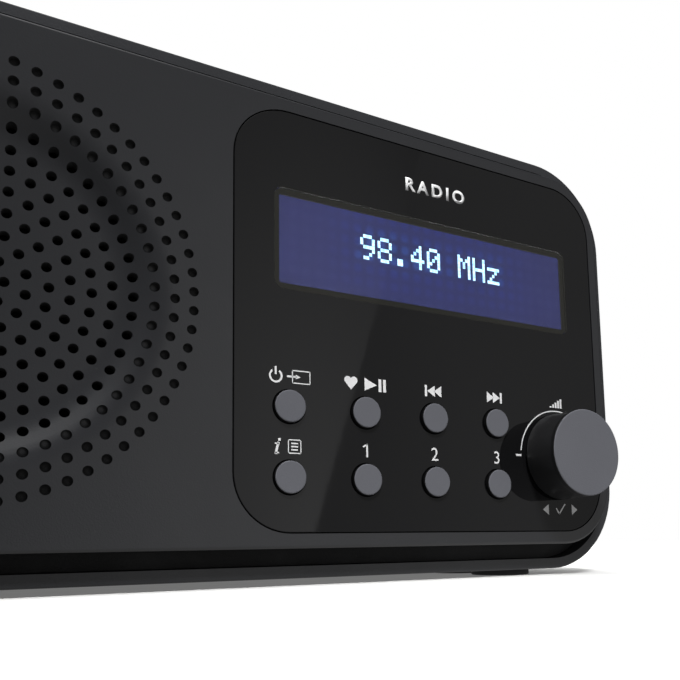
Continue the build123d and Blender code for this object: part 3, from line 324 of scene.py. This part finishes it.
def make_lcd():
    """Lit blue negative display: rows and columns of cells, and a bluer glow round the reading."""
    made, tree, shader, place = start_material("lit_blue_lcd", roughness=0.35)
    axes = add_node(tree, "ShaderNodeSeparateXYZ", {0: place}).outputs
    x_middle, z_middle = middle(LCD_LOW, LCD_HIGH)
    across = math_node(tree, "SUBTRACT", axes["X"], x_middle)
    up = math_node(tree, "SUBTRACT", axes["Z"], z_middle + READING_RISE)
    beside = math_node(tree, "SUBTRACT", math_node(tree, "ABSOLUTE", across), READING_W / 2)
    above = math_node(tree, "SUBTRACT", math_node(tree, "ABSOLUTE", up), READING_H / 2)
    off_x = math_node(tree, "MAXIMUM", beside, 0.0)
    off_z = math_node(tree, "MAXIMUM", above, 0.0)
    away = math_node(tree, "ADD", math_node(tree, "POWER", off_x, 2.0), math_node(tree, "POWER", off_z, 2.0))
    away = math_node(tree, "POWER", away, 0.5)
    drift = add_node(tree, "ShaderNodeTexNoise", {"Vector": place, "Scale": 70.0, "Detail": 2.0}).outputs[0]
    away = math_node(tree, "ADD", away, ramp_between(tree, drift, 0.3, 0.7, -GLOW_DRIFT, GLOW_DRIFT))
    field = mix_colour(tree, ramp_between(tree, away, -GLOW_DRIFT, GLOW_EDGE, smooth=True),
                       rgb("3a479c"), rgb("474a80"))
    near_text = ramp_between(tree, away, *HALO, smooth=True)
    field = mix_colour(tree, near_text, field, rgb("4a74cc"))
    columns = fine_bands(tree, place, LCD_WAVE, "X")
    rows = fine_bands(tree, place, LCD_WAVE, "Z")
    cell = ramp_between(tree, math_node(tree, "MULTIPLY", columns, rows), 0.0, 0.6, 0.0, 1.0)
    colour = mix_colour(tree, cell, rgb("3f4178"), field)
    rim = ramp_between(tree, math_node(tree, "ABSOLUTE", across), *RIM_FADE, 1.0, 0.92)
    feed(tree, shader, emission_color=colour)
    shader.inputs["Emission Strength"].default_value = 0.35
    feed(tree, shader, base_color=mix_colour(tree, rim, rgb("15173a"), rgb("1b1e48")))
    return made


def make_lit_dots():
    """Lit dots of the display: near-white with a cyan edge."""
    made, tree, shader, place = start_material("lit_pixels", roughness=0.4)
    flicker = add_node(tree, "ShaderNodeTexNoise", {"Vector": place, "Scale": 900.0}).outputs[0]
    colour = mix_colour(tree, ramp_between(tree, flicker, 0.35, 0.65), rgb("a9e4ff"), rgb("dcf8ff"))
    feed(tree, shader, emission_color=colour, base_color=colour)
    shader.inputs["Emission Strength"].default_value = 1.1
    return made


def make_button_grey():
    """Grey button and knob faces. The sides below the front edge go near-black: painted shade for the gap
    round each button, and on the knob the black of its side.
    """
    made, tree, shader, place = start_material("grey_button_paint")
    skin = use_group(tree, GRAIN, place, grain_size=0.25)
    specks = use_group(tree, DUST, place, amount=0.25)["Mask"]
    normal = add_node(tree, "ShaderNodeNewGeometry").outputs["True Normal"]
    turned = add_node(tree, "ShaderNodeVectorTransform", {0: normal}, vector_type="NORMAL",
                      convert_from="WORLD", convert_to="OBJECT").outputs[0]
    facing = add_node(tree, "ShaderNodeSeparateXYZ", {0: turned}).outputs["Y"]
    front = ramp_between(tree, facing, -0.45, -0.8)
    paint = mix_colour(tree, skin["Tone"], rgb("66676d"), rgb("6c6d73"))
    paint = mix_colour(tree, specks, paint, rgb("a8a8aa"))
    # painted shade: surfaces that don't face the front turn near-black
    feed(tree, shader, base_color=mix_colour(tree, front, rgb("0c0c0d"), paint),
         roughness=ramp_between(tree, skin["Polish"], 0.0, 1.0, 0.62, 0.5))
    bump(tree, shader, skin["Height"], 0.02)
    return made


def make_board():
    """Green circuit board: solder mask over straight copper tracks, with bare round pads."""
    made, tree, shader, place = start_material("green_circuit_board", roughness=0.35, coat_weight=0.4)
    brick = add_node(tree, "ShaderNodeTexBrick", {
        "Vector": place, "Scale": 260.0, "Mortar Size": 0.06, "Brick Width": 0.9, "Row Height": 0.28,
        "Color1": (1.0, 1.0, 1.0, 1.0), "Color2": (0.8, 0.8, 0.8, 1.0), "Mortar": (0.0, 0.0, 0.0, 1.0)})
    pads = add_node(tree, "ShaderNodeTexVoronoi", {"Vector": place, "Scale": 300.0, "Randomness": 0.5})
    pad = ramp_between(tree, pads.outputs["Distance"], 0.2, 0.16)
    track = mix_colour(tree, brick.outputs["Fac"], rgb("1c6a3a"), rgb("0f4426"))
    feed(tree, shader, base_color=mix_colour(tree, pad, track, rgb("c9b27a")), metallic=pad)
    bump(tree, shader, brick.outputs["Fac"], 0.05)
    return made


def make_woven(name, dark, light, wave=0.5, depth=0.1, **uniform):
    """Plain weave: two sets of threads, over and under."""
    made, tree, shader, place = start_material(name, sheen_weight=0.3, **uniform)
    warp = fine_bands(tree, place, wave, "X")
    weft = fine_bands(tree, place, wave, "Z")
    thread = math_node(tree, "MAXIMUM", warp, weft)
    fuzz = add_node(tree, "ShaderNodeTexNoise", {"Vector": place, "Scale": 4000.0, "Detail": 3.0}).outputs[0]
    feed(tree, shader, base_color=mix_colour(tree, thread, rgb(dark), rgb(light)),
         roughness=ramp_between(tree, fuzz, 0.3, 0.7, 0.75, 0.95))
    bump(tree, shader, thread, depth)
    return made


def make_cone_paper():
    """Pressed paper pulp: felted fibres and shallow rings round the speaker's axis."""
    made, tree, shader, place = start_material("pressed_cone_paper")
    x_middle, z_middle = node_middle("speaker_cone")
    centred = add_node(tree, "ShaderNodeMapping", {"Vector": place, "Location": (-x_middle, 0.0, -z_middle)})
    inputs = {"Vector": place, "Scale": 1800.0, "Detail": 6.0}
    fibre = add_node(tree, "ShaderNodeTexNoise", inputs).outputs[0]
    rings = add_node(tree, "ShaderNodeTexWave", {"Vector": centred.outputs[0], "Scale": 45.0},
                     wave_type="RINGS", rings_direction="Y").outputs[1]
    feed(tree, shader, base_color=mix_colour(tree, fibre, rgb("1e1d1c"), rgb("34322f")),
         roughness=ramp_between(tree, fibre, 0.3, 0.7, 0.75, 0.95))
    bump(tree, shader, math_node(tree, "ADD", fibre, rings), 0.08)
    return made


def make_winding():
    """Enamelled copper wire, wound close."""
    made, tree, shader, place = start_material("copper_winding", metallic=1.0)
    turns = fine_bands(tree, place, WINDING_WAVE, "Y")
    feed(tree, shader, base_color=mix_colour(tree, turns, rgb("6b3318"), rgb("d08a58")),
         roughness=ramp_between(tree, turns, 0.0, 1.0, 0.45, 0.25))
    bump(tree, shader, turns, 0.08)
    return made


def make_legend_ink():
    """White screen-printed ink, a little uneven."""
    made, tree, shader, place = start_material("white_legend_ink")
    skin = use_group(tree, GRAIN, place, grain_size=0.12, drift_size=4.0)
    feed(tree, shader, base_color=mix_colour(tree, skin["Tone"], rgb("eeeeef"), rgb("fcfcfc")),
         roughness=ramp_between(tree, skin["Polish"], 0.0, 1.0, 0.6, 0.4))
    bump(tree, shader, skin["Height"], 0.004)
    return made


FINISHES = {
    "cover_plastic": plastic("satin_charcoal_cover", "191a1e", "1c1d21", rough=(0.36, 0.42), grain=0.3,
                             depth=0.012, dust=0.2, recess=2.0, specular_ior_level=1.0, ior=1.6),
    "frame_black": plastic("black_inner_frame", "0c0c0d", "121214", rough=(0.45, 0.6), dust=0.3),
    "shell_plastic": plastic("satin_charcoal_shell", "2b2c2f", "303134", rough=(0.4, 0.5), grain=0.45,
                             depth=0.03, dust=0.4, recess=2.0, specular_ior_level=0.9),
    "foot_rubber": plastic("black_foot_rubber", "101011", "1a1a1b", rough=(0.6, 0.8), grain=0.5, depth=0.05),
    "panel_gloss": make_gloss_panel(),
    "window_clear": make_window(),
    "bezel_dark": make_display_border(),
    "lcd_blue": make_lcd(),
    "tray_white": plastic("white_light_tray", "c8c8c4", "dcdcd8", rough=(0.5, 0.65)),
    "board_green": make_board(),
    "switch_black": plastic("black_switch_bodies", "121213", "1c1c1e", rough=(0.4, 0.6)),
    "knob_black": plastic("satin_black_knob", "1b1b1c", "1f1f20", rough=(0.32, 0.4), grain=0.25, depth=0.01,
                          dust=0.2),
    "button_grey": make_button_grey(),
    "basket_black": plastic("black_painted_basket", "141416", "1c1c1f", rough=(0.35, 0.5), grain=0.8),
    "steel": metal("zinc_plated_steel", "8d8f90", "b5b8ba"),
    "ferrite": plastic("sintered_ferrite", "242427", "303034", rough=(0.5, 0.7), grain=0.6, depth=0.05),
    "cone_paper": make_cone_paper(),
    "copper": make_winding(),
    "spider_cloth": make_woven("resin_spider_cloth", "6b4a24", "a87a44", wave=0.7, roughness=0.9),
    "surround_rubber": plastic("butyl_surround", "121212", "1b1b1c", rough=(0.5, 0.65), grain=0.5),
    "grille_fabric": make_woven("black_grille_cloth", "060607", "161618", wave=0.45, depth=0.05),
    "capacitor_can": plastic("printed_capacitor_sleeve", "1d2b4a", "253558", rough=(0.3, 0.45)),
    "ribbon_grey": plastic("grey_ribbon_cable", "8a8d92", "a2a5aa", rough=(0.45, 0.6)),
    "wire_red": plastic("red_wire_insulation", "8e1c1a", "a82824", rough=(0.35, 0.5)),
    "wire_black": plastic("black_wire_insulation", "121212", "1d1d1e", rough=(0.35, 0.5)),
    "tray_black": plastic("black_battery_tray", "17171a", "1f1f22", rough=(0.45, 0.6), grain=0.5),
    "nickel": metal("nickel_plated_spring_steel", "b0aa9c", "d2ccbe", rough=(0.15, 0.3)),
    "chrome": metal("chromed_brass_tube", "c4c6c8", "e2e4e6", rough=(0.05, 0.14), line=1.2, depth=0.002),
    "screw_zinc": metal("blackened_screws", "2c2c2e", "3c3c40", rough=(0.3, 0.45)),
}
LEGEND = make_legend_ink()
LIT_DOTS = make_lit_dots()


def paint_frame():
    """Every CAD node gets the finish of its slot in the record."""
    for part in frame["record"]["subparts"]:
        for slot in frame["nodes"][part["node"]].material_slots:
            slot.material = FINISHES[part["material_slot"]]


# ------------------------------------------------------------------ new pieces: mesh helpers
def finish_piece(name, shape, material, body):
    """Turns a bmesh into a piece that rides on a body."""
    bmesh.ops.recalc_face_normals(shape, faces=shape.faces)
    mesh = bpy.data.meshes.new(name)
    shape.to_mesh(mesh)
    shape.free()
    mesh.materials.append(material)
    piece = bpy.data.objects.new(name, mesh)
    bpy.context.scene.collection.objects.link(piece)
    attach(piece, body)
    return piece


INK = 0.02 * MM          # printed ink stands this far off the panel


def lift(shape, faces, thickness):
    """Gives flat faces on the XZ plane their thickness, towards the front."""
    made = bmesh.ops.extrude_face_region(shape, geom=faces)
    moved = [v for v in made["geom"] if isinstance(v, bmesh.types.BMVert)]
    bmesh.ops.translate(shape, verts=moved, vec=(0.0, -thickness, 0.0))


def patch(shape, points, y=None, thickness=INK):
    """A flat printed patch from its outline, given as (x, z) in metres."""
    level = FACE_Y if y is None else y
    corners = [shape.verts.new((x, level, z)) for x, z in points]
    lift(shape, [shape.faces.new(corners)], thickness)


def block(shape, x, z, width, height, **rest):
    half_w, half_h = width / 2, height / 2
    patch(shape, [(x - half_w, z - half_h), (x + half_w, z - half_h), (x + half_w, z + half_h),
                  (x - half_w, z + half_h)], **rest)


def arc_points(x, z, radius, start, end, steps):
    """Points of an arc. Angles are in degrees from +X towards +Z."""
    turns = [radians(start + (end - start) * i / steps) for i in range(steps + 1)]
    return [(x + radius * cos(t), z + radius * sin(t)) for t in turns]


def band(shape, x, z, radius, width, start, end, steps=40):
    """A printed arc of that width."""
    outer = arc_points(x, z, radius + width / 2, start, end, steps)
    inner = arc_points(x, z, radius - width / 2, end, start, steps)
    for i in range(steps):
        patch(shape, [outer[i], outer[i + 1], inner[steps - i - 1], inner[steps - i]])


def stroke(shape, points, width):
    """A line of that width through points, with square joints."""
    for (x0, z0), (x1, z1) in zip(points, points[1:]):
        turn = atan2(z1 - z0, x1 - x0)
        dx, dz = cos(turn) * width / 2, sin(turn) * width / 2
        patch(shape, [(x0 - dx + dz, z0 - dz - dx), (x1 + dx + dz, z1 + dz - dx),
                      (x1 + dx - dz, z1 + dz + dx), (x0 - dx - dz, z0 - dz + dx)])


def frame_outline(shape, x, z, width, height, line):
    half_w, half_h = (width - line) / 2, (height - line) / 2
    stroke(shape, [(x - half_w, z - half_h), (x + half_w, z - half_h), (x + half_w, z + half_h),
                   (x - half_w, z + half_h), (x - half_w, z - half_h)], line)


def triangle(shape, x, z, width, height, direction=1):
    """A triangle that points along +X (1) or -X (-1), with its middle at x, z."""
    back, tip = x - direction * width / 2, x + direction * width / 2
    patch(shape, [(back, z - height / 2), (tip, z), (back, z + height / 2)])


def lettering(shape, text, x, z, height, spacing=1.0, weight=0.0):
    """Plain lettering, made a mesh flat on the panel, with its middle at x, z."""
    curve = bpy.data.curves.new("lettering", "FONT")
    curve.body = text
    curve.size = 1.0
    curve.space_character = spacing
    curve.resolution_u = 6
    curve.offset = weight
    flat = bpy.data.objects.new("lettering", curve)
    bpy.context.scene.collection.objects.link(flat)
    bpy.context.view_layer.update()
    mesh = bpy.data.meshes.new_from_object(flat.evaluated_get(bpy.context.evaluated_depsgraph_get()))
    bpy.data.objects.remove(flat)
    xs = [v.co.x for v in mesh.vertices]
    ys = [v.co.y for v in mesh.vertices]
    size = height / (max(ys) - min(ys))
    centre = Vector(((max(xs) + min(xs)) / 2, (max(ys) + min(ys)) / 2, 0.0))
    letters = bmesh.new()
    letters.from_mesh(mesh)
    bmesh.ops.translate(letters, verts=letters.verts, vec=-centre)
    bmesh.ops.scale(letters, verts=letters.verts, vec=(size, size, size))
    bmesh.ops.rotate(letters, verts=letters.verts, cent=(0, 0, 0), matrix=Matrix.Rotation(pi / 2, 3, "X"))
    bmesh.ops.translate(letters, verts=letters.verts, vec=(x, FACE_Y, z))
    lift(letters, letters.faces[:], INK)
    letters.to_mesh(mesh)
    letters.free()
    shape.from_mesh(mesh)
    bpy.data.meshes.remove(mesh)


# ------------------------------------------------------------------ printing on the control panel
LEGEND_RISE = 6.45 * MM      # legends stand this far above their button's axis
LEGEND_H = 3.0 * MM
THIN, THICK = 0.22 * MM, 0.42 * MM


def print_power(shape, x, z):
    band(shape, x, z - 0.1 * MM, 1.28 * MM, THICK, 125, 415)
    block(shape, x, z + 1.05 * MM, THICK, 1.7 * MM)


def print_input(shape, x, z):
    """An arrow that goes into a box."""
    frame_outline(shape, x + 0.5 * MM, z, 4.2 * MM, 2.9 * MM, THIN)
    block(shape, x - 1.6 * MM, z, 2.2 * MM, THICK)
    triangle(shape, x - 0.2 * MM, z, 1.1 * MM, 1.0 * MM)


def print_heart(shape, x, z):
    size = LEGEND_H / 2
    left = arc_points(x - size * 0.5, z + size * 0.42, size * 0.56, 30, 215, 12)
    right = arc_points(x + size * 0.5, z + size * 0.42, size * 0.56, -35, 150, 12)
    patch(shape, [*right, *left, (x, z - size)])


def print_play_pause(shape, x, z):
    triangle(shape, x, z, 3.1 * MM, 2.9 * MM)
    for shift in (2.35, 3.5):
        block(shape, x + shift * MM, z, 0.72 * MM, 2.9 * MM)


def print_skip(shape, x, z, direction):
    """Two triangles and a bar. direction 1 is forward and -1 is back."""
    for shift in (-1.25, 0.55):
        triangle(shape, x + direction * shift * MM, z, 2.1 * MM, 2.7 * MM, direction)
    block(shape, x + direction * 1.95 * MM, z, 0.6 * MM, 2.7 * MM)


def print_menu(shape, x, z):
    frame_outline(shape, x, z, 3.0 * MM, 3.0 * MM, THIN)
    for row in (-0.68, 0.0, 0.68):
        block(shape, x, z + row * MM, 1.5 * MM, 0.3 * MM)


def print_check(shape, x, z):
    stroke(shape, [(x - 1.3 * MM, z + 0.2 * MM), (x - 0.5 * MM, z - 1.1 * MM), (x + 1.5 * MM, z + 1.3 * MM)],
           0.34 * MM)


def print_letter_i(shape, x, z):
    """A leaning letter i with small serifs."""
    stroke(shape, [(x - 0.45 * MM, z - 1.45 * MM), (x + 0.1 * MM, z + 0.6 * MM)], 0.5 * MM)
    block(shape, x - 0.2 * MM, z + 0.5 * MM, 0.9 * MM, 0.28 * MM)
    block(shape, x - 0.2 * MM, z - 1.4 * MM, 0.9 * MM, 0.28 * MM)
    block(shape, x + 0.35 * MM, z + 1.35 * MM, 0.56 * MM, 0.56 * MM)


def print_number_1(shape, x, z):
    """An upright with a short flag."""
    block(shape, x + 0.25 * MM, z, 0.42 * MM, LEGEND_H)
    stroke(shape, [(x - 0.6 * MM, z + 0.85 * MM), (x + 0.2 * MM, z + 1.3 * MM)], 0.36 * MM)


def print_level_bars(shape, x, z):
    """Five bars that rise to the right."""
    for i in range(5):
        height = (0.35 + 0.52 * i) * MM
        block(shape, x + (i - 2) * 0.86 * MM, z + height / 2, 0.6 * MM, height)


def make_panel_printing():
    shape = bmesh.new()
    x, z = node_middle("button_power")
    print_power(shape, x - 2.95 * MM, z + LEGEND_RISE)
    print_input(shape, x + 2.25 * MM, z + LEGEND_RISE)
    x, z = node_middle("button_favourite")
    print_heart(shape, x - 3.45 * MM, z + LEGEND_RISE)
    print_play_pause(shape, x + 1.45 * MM, z + LEGEND_RISE)
    x, z = node_middle("button_previous")
    print_skip(shape, x, z + LEGEND_RISE, -1)
    x, z = node_middle("button_next")
    print_skip(shape, x, z + LEGEND_RISE, 1)
    x, z = node_middle("button_info")
    print_letter_i(shape, x - 2.55 * MM, z + LEGEND_RISE)
    print_menu(shape, x + 1.15 * MM, z + LEGEND_RISE)
    x, z = node_middle("button_preset_1")
    print_number_1(shape, x, z + LEGEND_RISE)
    for number in (2, 3):
        x, z = node_middle(f"button_preset_{number}")
        lettering(shape, str(number), x, z + LEGEND_RISE, LEGEND_H)
    x, z = middle(KNOB_LOW, KNOB_HIGH)
    band(shape, x, z, 11.9 * MM, 0.3 * MM, 75, 174, steps=48)
    block(shape, x - 12.7 * MM, z, 1.7 * MM, 0.5 * MM)
    print_level_bars(shape, x + 0.2 * MM, z + 12.8 * MM)
    print_check(shape, x + 0.15 * MM, z - 13.4 * MM)
    triangle(shape, x - 4.7 * MM, z - 13.4 * MM, 1.9 * MM, 2.7 * MM, -1)
    triangle(shape, x + 4.9 * MM, z - 13.4 * MM, 1.9 * MM, 2.7 * MM, 1)
    finish_piece("panel_legends", shape, LEGEND, "case")


def make_top_mark():
    """A plain word where the front carries its mark."""
    shape = bmesh.new()
    lettering(shape, "RADIO", middle(PANEL_LOW, PANEL_HIGH)[0] + 0.4 * MM, PANEL_HIGH.z - 9.3 * MM, 3.4 * MM,
              spacing=1.4, weight=0.035)
    finish_piece("panel_word", shape, LEGEND, "case")


# ------------------------------------------------------------------ the display's lit dots
DOT_ROWS = {                 # five dots by seven, each row from left to right
    "9": ("01110", "10001", "10001", "01111", "00001", "00010", "01100"),
    "8": ("01110", "10001", "10001", "01110", "10001", "10001", "01110"),
    "4": ("00010", "00110", "01010", "10010", "11111", "00010", "00010"),
    "0": ("01110", "10001", "10011", "10101", "11001", "10001", "01110"),
    ".": ("00000", "00000", "00000", "00000", "00000", "01100", "01100"),
    "M": ("10001", "11011", "10101", "10101", "10001", "10001", "10001"),
    "H": ("10001", "10001", "10001", "11111", "10001", "10001", "10001"),
    "z": ("00000", "00000", "11111", "00010", "00100", "01000", "11111"),
    " ": ("00000",) * 7,
}


def make_reading():
    """The station's frequency, in square dots just in front of the glass cell."""
    shape = bmesh.new()
    x_middle, z_middle = middle(LCD_LOW, LCD_HIGH)
    left = x_middle - 0.2 * MM - READING_W / 2
    top = z_middle + READING_RISE + 3 * DOT_Z
    for place, letter in enumerate(READING):
        for row, dots in enumerate(DOT_ROWS[letter]):
            for column, dot in enumerate(dots):
                if dot == "1":
                    block(shape, left + place * CELL_PITCH + (column + 0.5) * DOT_X, top - row * DOT_Z,
                          DOT_X * DOT_FILL, DOT_Z * DOT_FILL, y=LCD_LOW.y, thickness=DOT_T)
    finish_piece("display_reading", shape, LIT_DOTS, "case")


# ------------------------------------------------------------------ floor, light and camera
FLOOR_HALF = 4.0
FLOOR_FADE = (0.35, 0.9)     # between these distances the floor turns plain white
FLOOR_GLOW = (0.14, 1.0)


def make_floor():
    shape = bmesh.new()
    bmesh.ops.create_grid(shape, x_segments=1, y_segments=1, size=FLOOR_HALF)
    mesh = bpy.data.meshes.new("studio_floor")
    shape.to_mesh(mesh)
    shape.free()
    floor = bpy.data.objects.new("studio_floor", mesh)
    bpy.context.scene.collection.objects.link(floor)
    made, tree, shader, place = start_material("pale_floor", roughness=0.9, specular_ior_level=0.1)
    shade = add_node(tree, "ShaderNodeTexNoise", {"Vector": place, "Scale": 3.0}).outputs[0]
    feed(tree, shader, base_color=mix_colour(tree, shade, rgb("f2f2f0"), rgb("f6f6f5")))
    shader.inputs["Emission Color"].default_value = (1.0, 1.0, 0.99, 1.0)
    span = add_node(tree, "ShaderNodeVectorMath", {0: place}, operation="LENGTH").outputs["Value"]
    tree.links.new(ramp_between(tree, span, *FLOOR_FADE, *FLOOR_GLOW, smooth=True),
                   shader.inputs["Emission Strength"])
    mesh.materials.append(made)
    floor.visible_diffuse = False
    floor.visible_glossy = False


def soft_light(name, place, aim, size, power, mirrored=True):
    """A softbox. One that isn't mirrored lights the surfaces but leaves no reflection in them."""
    data = bpy.data.lights.new(name, "AREA")
    data.shape = "RECTANGLE"
    data.size, data.size_y = size
    data.energy = power
    light = bpy.data.objects.new(name, data)
    bpy.context.scene.collection.objects.link(light)
    light.visible_glossy = mirrored
    light.location = place
    light.rotation_euler = (Vector(aim) - Vector(place)).to_track_quat("-Z", "Y").to_euler()


CARD_FALL_OFF = (2.0, 1.0, 1.0)      # a card's glow falls off faster across than up
FRONT_CARD_Y = -0.80
CARD_FOOT_Z, CARD_HEAD_Z = -0.01, 0.95
LINE_FOOT_X, LINE_HEAD_X = 0.343, 0.645      # the slanted line where the front card meets the side card
FRONT_CARD_LEFT, SIDE_CARD_RIGHT = -1.60, 3.0
TOP_CARD_Z = 1.25
FLOOR_CARD_Z = -0.0005       # just under the floor


def upright_card(foot_left, foot_right, head_right, head_left):
    """The outline of a card that stands in front."""
    foot = [(x, FRONT_CARD_Y, CARD_FOOT_Z) for x in (foot_left, foot_right)]
    head = [(x, FRONT_CARD_Y, CARD_HEAD_Z) for x in (head_right, head_left)]
    return foot + head


def level_card(left, right, half_depth, z):
    """The outline of a card that lies flat."""
    corners = ((left, -half_depth), (right, -half_depth), (right, half_depth), (left, half_depth))
    return [(x, y, z) for x, y in corners]


def make_card(name, outline, bright_spot, reach, near_glow, far_glow, lights_up=False):
    """A dim card that only reflections see, or that lights up what it faces too.
    Its glow falls off from its bright spot, over that reach."""
    shape = bmesh.new()
    shape.faces.new([shape.verts.new(point) for point in outline])
    mesh = bpy.data.meshes.new(name)
    shape.to_mesh(mesh)
    shape.free()
    card = bpy.data.objects.new(name, mesh)
    bpy.context.scene.collection.objects.link(card)
    made = bpy.data.materials.new(name)
    made.use_nodes = True
    tree = made.node_tree
    tree.nodes.clear()
    place = add_node(tree, "ShaderNodeTexCoord").outputs["Object"]
    offset = place
    for operation, other in (("SUBTRACT", bright_spot), ("MULTIPLY", CARD_FALL_OFF)):
        moved = add_node(tree, "ShaderNodeVectorMath", {0: offset, 1: other}, operation=operation)
        offset = moved.outputs[0]
    away = add_node(tree, "ShaderNodeVectorMath", {0: offset}, operation="LENGTH").outputs["Value"]
    strength = ramp_between(tree, away, 0.0, reach, near_glow, far_glow)
    glow = add_node(tree, "ShaderNodeEmission", {"Strength": strength})
    end = add_node(tree, "ShaderNodeOutputMaterial")
    tree.links.new(glow.outputs[0], end.inputs["Surface"])
    mesh.materials.append(made)
    card.visible_camera = False
    card.visible_shadow = False
    card.visible_diffuse = lights_up


def make_cards():
    """The front and side cards meet in the slanted line that the gloss panel mirrors. The top card lights
    the edges, and the floor card is the dim share of the pale floor that the object gets back."""
    make_card("front_card", upright_card(FRONT_CARD_LEFT, LINE_FOOT_X, LINE_HEAD_X, FRONT_CARD_LEFT),
              bright_spot=(0.36, FRONT_CARD_Y, 0.0), reach=0.85, near_glow=0.80, far_glow=0.12)
    make_card("side_card", upright_card(LINE_FOOT_X, SIDE_CARD_RIGHT, SIDE_CARD_RIGHT, LINE_HEAD_X),
              bright_spot=(0.70, FRONT_CARD_Y, 0.0), reach=1.0, near_glow=0.38, far_glow=0.20)
    make_card("top_card", level_card(-0.9, 0.15, 0.7, TOP_CARD_Z),
              bright_spot=(0.0, 0.0, TOP_CARD_Z), reach=2.0, near_glow=0.9, far_glow=0.9)
    make_card("floor_card", level_card(-1.6, 1.6, 1.6, FLOOR_CARD_Z),
              bright_spot=(0.08, -0.04, 0.0), reach=0.5, near_glow=0.42, far_glow=0.05, lights_up=True)


def make_world():
    """White to the eye, and a dim soft studio to the object, a little brighter above."""
    world = bpy.data.worlds.new("studio")
    bpy.context.scene.world = world
    world.use_nodes = True
    tree = world.node_tree
    tree.nodes.clear()
    direction = add_node(tree, "ShaderNodeTexCoord").outputs["Generated"]
    height = add_node(tree, "ShaderNodeSeparateXYZ", {0: direction}).outputs["Z"]
    glow = ramp_between(tree, height, 0.5, 1.0, 0.05, 0.25, smooth=True)
    soft = add_node(tree, "ShaderNodeBackground", {"Strength": glow})
    white = add_node(tree, "ShaderNodeBackground", {"Color": (1.0, 1.0, 1.0, 1.0), "Strength": 1.0})
    seen = add_node(tree, "ShaderNodeLightPath").outputs["Is Camera Ray"]
    both = add_node(tree, "ShaderNodeMixShader", {0: seen, 1: soft.outputs[0], 2: white.outputs[0]})
    end = add_node(tree, "ShaderNodeOutputWorld")
    tree.links.new(both.outputs[0], end.inputs["Surface"])


ORIGIN = (0.0, 0.0, 0.0)
OBJECT_HEART = (0.0, 0.0, 0.05)      # what most of the lights aim at


def make_lights():
    """A key from the front left above, a softbox overhead, and weak fills for the other sides."""
    soft_light("key_softbox", (-0.25, -0.80, 1.0), OBJECT_HEART, size=(0.24, 0.24), power=16.0,
               mirrored=False)
    soft_light("overhead_softbox", (-0.35, 0.15, 1.2), ORIGIN, size=(1.1, 1.1), power=17.0, mirrored=False)
    soft_light("left_softbox", (-1.1, 0.15, 0.6), OBJECT_HEART, size=(0.6, 0.6), power=3.0)
    soft_light("right_softbox", (1.0, 0.9, 0.5), OBJECT_HEART, size=(0.5, 0.6), power=3.0)
    soft_light("rear_softbox", (0.1, 1.2, 0.8), OBJECT_HEART, size=(0.9, 0.7), power=7.0)


CAMERA_PLACE = Vector((-42.2, -152.4, 8.3)) * MM
CAMERA_YAW, CAMERA_PITCH, CAMERA_ROLL = radians(27.39), radians(6.25), radians(-0.98)
SENSOR_MM = 36.0
LENS_MM = 36.3176
LENS_SHIFT = (-0.029412, 0.191176)       # in widths of the sensor, right and up


def make_camera():
    """Low, to the left of the display, turned to the right, with the lens shifted up."""
    data = bpy.data.cameras.new("camera")
    camera = bpy.data.objects.new("camera", data)
    bpy.context.scene.collection.objects.link(camera)
    flat = cos(CAMERA_PITCH)
    ahead = Vector((sin(CAMERA_YAW) * flat, cos(CAMERA_YAW) * flat, sin(CAMERA_PITCH)))
    level = Vector((cos(CAMERA_YAW), -sin(CAMERA_YAW), 0.0))
    upright = level.cross(ahead)
    right = level * cos(CAMERA_ROLL) + upright * sin(CAMERA_ROLL)
    up = right.cross(ahead)
    turn = Matrix((right, up, -ahead)).transposed().to_4x4()
    camera.matrix_world = Matrix.Translation(CAMERA_PLACE) @ turn
    data.sensor_width = SENSOR_MM
    data.lens = LENS_MM
    data.shift_x, data.shift_y = LENS_SHIFT
    data.clip_start = 0.005
    bpy.context.scene.camera = camera


paint_frame()
make_panel_printing()
make_top_mark()
make_reading()
make_floor()
make_cards()
make_world()
make_lights()
make_camera()
bpy.context.scene.view_settings.view_transform = "Standard"
